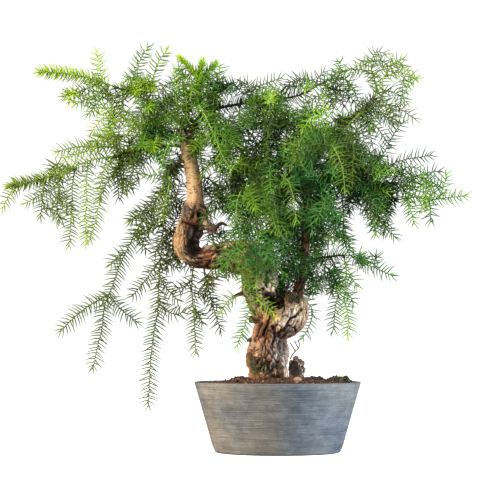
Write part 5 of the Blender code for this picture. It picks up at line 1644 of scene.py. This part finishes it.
SCATTER_TREE = scatter_tree()
print("nodes in the scatter tree:", len(SCATTER_TREE.nodes))

# %% [markdown]
# The crumbs, the bits of bark and the moss have the same kind of finish: two colours mixed by each crumb's
# own random value, a third for the palest few, and fine grain.

# %% The finish of crumbs
def crumb_material(name, dark, light, palest, share):
    made, tree, shader = new_material(name, 0.95)
    chance = attribute(tree, "chance")
    colour = mixed(tree, chance, dark, light)
    colour = mixed(tree, ramp(tree, chance, 1.0 - share, 1.0, 0.0, 1.0), colour, palest)
    grain = use_group(tree, GRAIN, {"Vector": place(tree), "Scale": 700.0, "Contrast": 1.8})
    colour = shaded(tree, colour, ramp(tree, grain, 0.2, 0.8, 0.6, 1.25))
    tree.links.new(colour, shader.inputs["Base Color"])
    add_bump(tree, shader, grain, 0.6 * MM)
    return made


packed_soil = crumb_material("packed soil", rgb(34, 24, 17), rgb(34, 24, 17), rgb(60, 42, 30), 0.0)
soil.data.materials.append(packed_soil)
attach(soil, "root")
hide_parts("soil")
print("finish:", packed_soil.name)

# %% Scatter the crumbs
def near(x, y, spots):
    """How near a place is to any of some (x, y, radius) spots: 1 in the middle and 0 far off."""
    return max(math.exp(-((x - sx) ** 2 + (y - sy) ** 2) / radius**2) for sx, sy, radius in spots)


MOSS_SPOTS = [(95, -14, 26), (112, 0, 14), (72, -20, 14), (-20, 40, 20), (30, 72, 22)]
MULCH_SPOTS = [(-14, -30, 34), (-62, -12, 24), (34, -44, 16), (20, 10, 30)]
SCATTERS = {  # weight, inputs of the tree, and finish
    "soil_crumbs": (lambda x, y: 1 - 0.5 * near(x, y, MOSS_SPOTS), {
        "Density": 90000.0, "Smallest": 0.8 * MM, "Largest": 3.4 * MM, "Flatness": 0.75, "Seed": 3},
        crumb_material("soil crumbs", rgb(38, 26, 18), rgb(84, 56, 38), rgb(150, 120, 92), 0.06)),
    "bark_mulch": (lambda x, y: near(x, y, MULCH_SPOTS), {
        "Density": 60000.0, "Smallest": 1.2 * MM, "Largest": 4.0 * MM, "Flatness": 0.45, "Stretch": 1.7,
        "Seed": 4}, crumb_material("bark mulch", rgb(54, 31, 21), rgb(106, 64, 42), rgb(170, 126, 94), 0.1)),
    "moss": (lambda x, y: near(x, y, MOSS_SPOTS), {
        "Density": 160000.0, "Smallest": 0.7 * MM, "Largest": 2.2 * MM, "Flatness": 1.0, "Seed": 5},
        crumb_material("moss", rgb(38, 42, 16), rgb(84, 88, 36), rgb(126, 130, 58), 0.2)),
}
for name, (weight, values, finish) in SCATTERS.items():
    mound = mound_mesh("mound", 24, 60, False, weight)
    crumbs = grow(name, mound, SCATTER_TREE, {**values, "Material": finish})
    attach(crumbs, "root")
    print(name, triangles(crumbs), "triangles")

# %% [markdown]
# ## The cut root, the stone and the dead twig
#
# To the right of the trunk stands the stub of a cut root. Its bark rolls round a dark hollow that faces the
# viewer. It is made like the trunk: a tube and a few knobs are melted together, then the hollow is cut out.
# The small stone beside it is a ball pushed out of shape by noise. A dead twig stands up behind it, and a few
# dead snags stick out of the trunk.

# %% Model the cut root
ROOT_ROUTE = [(30, -34, 98, 9), (30, -34, 118, 11), (28, -35, 134, 11.5), (27, -36, 147, 8.5)]
KNOBS = [(35, -38, 142, 6.5), (37, -36, 131, 6.5), (35, -40, 120, 6), (28, -37, 149, 5)]
CAVITY = [(24, -50, 140, 9), (25, -50, 130, 10), (19, -46, 134, 8)]
HOLLOW_EDGE = 1.2  # over how many millimetres the dark of the hollow fades
FOLDS, GRIT = 3.2, 0.6  # how high the bark's folds and its grit are, in millimetres


def ball_into(bm, x, y, z, radius):
    """Add a ball to a mesh, given in millimetres."""
    made = bmesh.ops.create_icosphere(bm, subdivisions=3, radius=radius * MM)
    bmesh.ops.translate(bm, verts=made["verts"], vec=Vector((x, y, z)) * MM)


def body_of(name, route, balls):
    """A tube, or none, and some balls as one object, still to be melted together."""
    bm = bmesh.new()
    if route:
        tube_into(bm, smooth_route([Vector((*Vector(p[:3]) * MM, p[3] * MM)) for p in route], 3 * MM))
    for ball in balls:
        ball_into(bm, *ball)
    return new_object(name, mesh_from(bm, name))


root_stub = remeshed(body_of("cut_root_stub", ROOT_ROUTE, KNOBS), 0.8 * MM)
cavity = remeshed(body_of("cavity", None, CAVITY), 0.8 * MM)
cut = root_stub.modifiers.new("hollow", "BOOLEAN")
cut.operation, cut.object = "DIFFERENCE", cavity
remeshed(root_stub, 0.7 * MM)
bpy.data.objects.remove(cavity)
deep = []  # for each point: 1 in the hollow, and less the farther it is from it
for vert in root_stub.data.vertices:
    inside = min((vert.co / MM - Vector(ball[:3])).length - ball[3] for ball in CAVITY)
    deep.append(math.exp(-max(0.0, inside) / HOLLOW_EDGE))
    folds = abs(noise.noise(Vector((vert.co.x * 260, vert.co.y * 260, vert.co.z * 120)))) - 0.25
    relief = folds * FOLDS + noise.noise(vert.co * 700) * GRIT
    vert.co += vert.normal * relief * MM * (1 - 0.6 * deep[-1])
root_stub.data.attributes.new("hollow", "FLOAT", "POINT").data.foreach_set("value", deep)
print("points of the root:", len(deep))

# %% Paint the cut root
def root_material():
    made, tree, shader = new_material("weathered root", 0.9)
    here = place(tree)
    grain = use_group(tree, GRAIN, {"Vector": here, "Scale": 420.0, "Contrast": 2.4})
    pale = use_group(tree, PATCHES, {"Vector": here, "Scale": 190.0, "Share": 0.36, "Softness": 0.06})
    side = add_node(tree, "ShaderNodeSeparateXYZ", {0: here})
    pale = maths(tree, "MULTIPLY", pale, ramp(tree, side, 0.027, 0.036, 0.1, 1.0))
    colour = mixed(tree, grain, rgb(40, 27, 19), rgb(98, 72, 52))
    colour = mixed(tree, pale, colour, rgb(188, 178, 160))
    colour = mixed(tree, ramp(tree, attribute(tree, "hollow"), 0.3, 0.8, 0.0, 1.0), colour, rgb(20, 13, 10))
    tree.links.new(colour, shader.inputs["Base Color"])
    add_bump(tree, shader, grain, 0.8 * MM)
    return made


root_stub.data.materials.append(root_material())
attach(root_stub, "root")
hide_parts("cut_root")
print("triangles of the root:", triangles(root_stub))

# %% Model the stone
low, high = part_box("pebble")
bm = bmesh.new()
bmesh.ops.create_icosphere(bm, subdivisions=4, radius=1.0)
for vert in bm.verts:
    bulge = 1 + 0.18 * noise.noise(vert.co * 1.3) + 0.05 * noise.noise(vert.co * 5)
    vert.co = (low + high) / 2 + vert.co * bulge * 0.98 * (high - low) / 2
stone = new_object("pale_stone", mesh_from(bm, "pale_stone", smooth=True))
stone.data.materials.append(
    crumb_material("pale stone", rgb(150, 120, 98), rgb(168, 138, 114), rgb(206, 182, 156), 0.2))
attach(stone, "root")
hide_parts("pebble")
print("triangles of the stone:", triangles(stone))

# %% Model the dead twigs
DEAD_TWIGS = [
    [(20, -30, 148, 1.2), (25, -30, 157, 1.0), (33, -30, 165, 0.9), (35, -29, 172, 0.8), (32, -28, 178, 0.6)],
    [(28, -30, 161, 1.0), (24, -31, 168, 0.9), (20, -31, 174, 0.8)],
    [(33, -30, 165, 1.0), (27, -29, 177, 0.8)],
    [(-101, -12, 354, 3.6), (-96, -13, 361, 3.2), (-89, -13, 365, 2.8), (-80, -13, 361, 1.6)],
    [(-48, -6, 256, 4.4), (-57, -8, 253, 3.4), (-65, -9, 250, 2.8), (-72, -9, 247, 1.6)],
    [(-36, -6, 181, 4.0), (-44, -8, 179, 3.2), (-49, -9, 177, 1.8)],
    [(-47, -9, 178, 0.9), (-54, -10, 184, 0.7), (-58, -10, 191, 0.5)],
]
bm = bmesh.new()
for points in DEAD_TWIGS:
    tube_into(bm, smooth_route(with_radius(points), 2 * MM), 7)
dead_twigs = new_object("dead_twigs", mesh_from(bm, "dead_twigs", smooth=True))
dead_twigs.data.materials.append(
    crumb_material("dead wood", rgb(74, 54, 40), rgb(74, 54, 40), rgb(120, 96, 74), 0.0))
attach(dead_twigs, "root")
print("twigs:", len(DEAD_TWIGS))
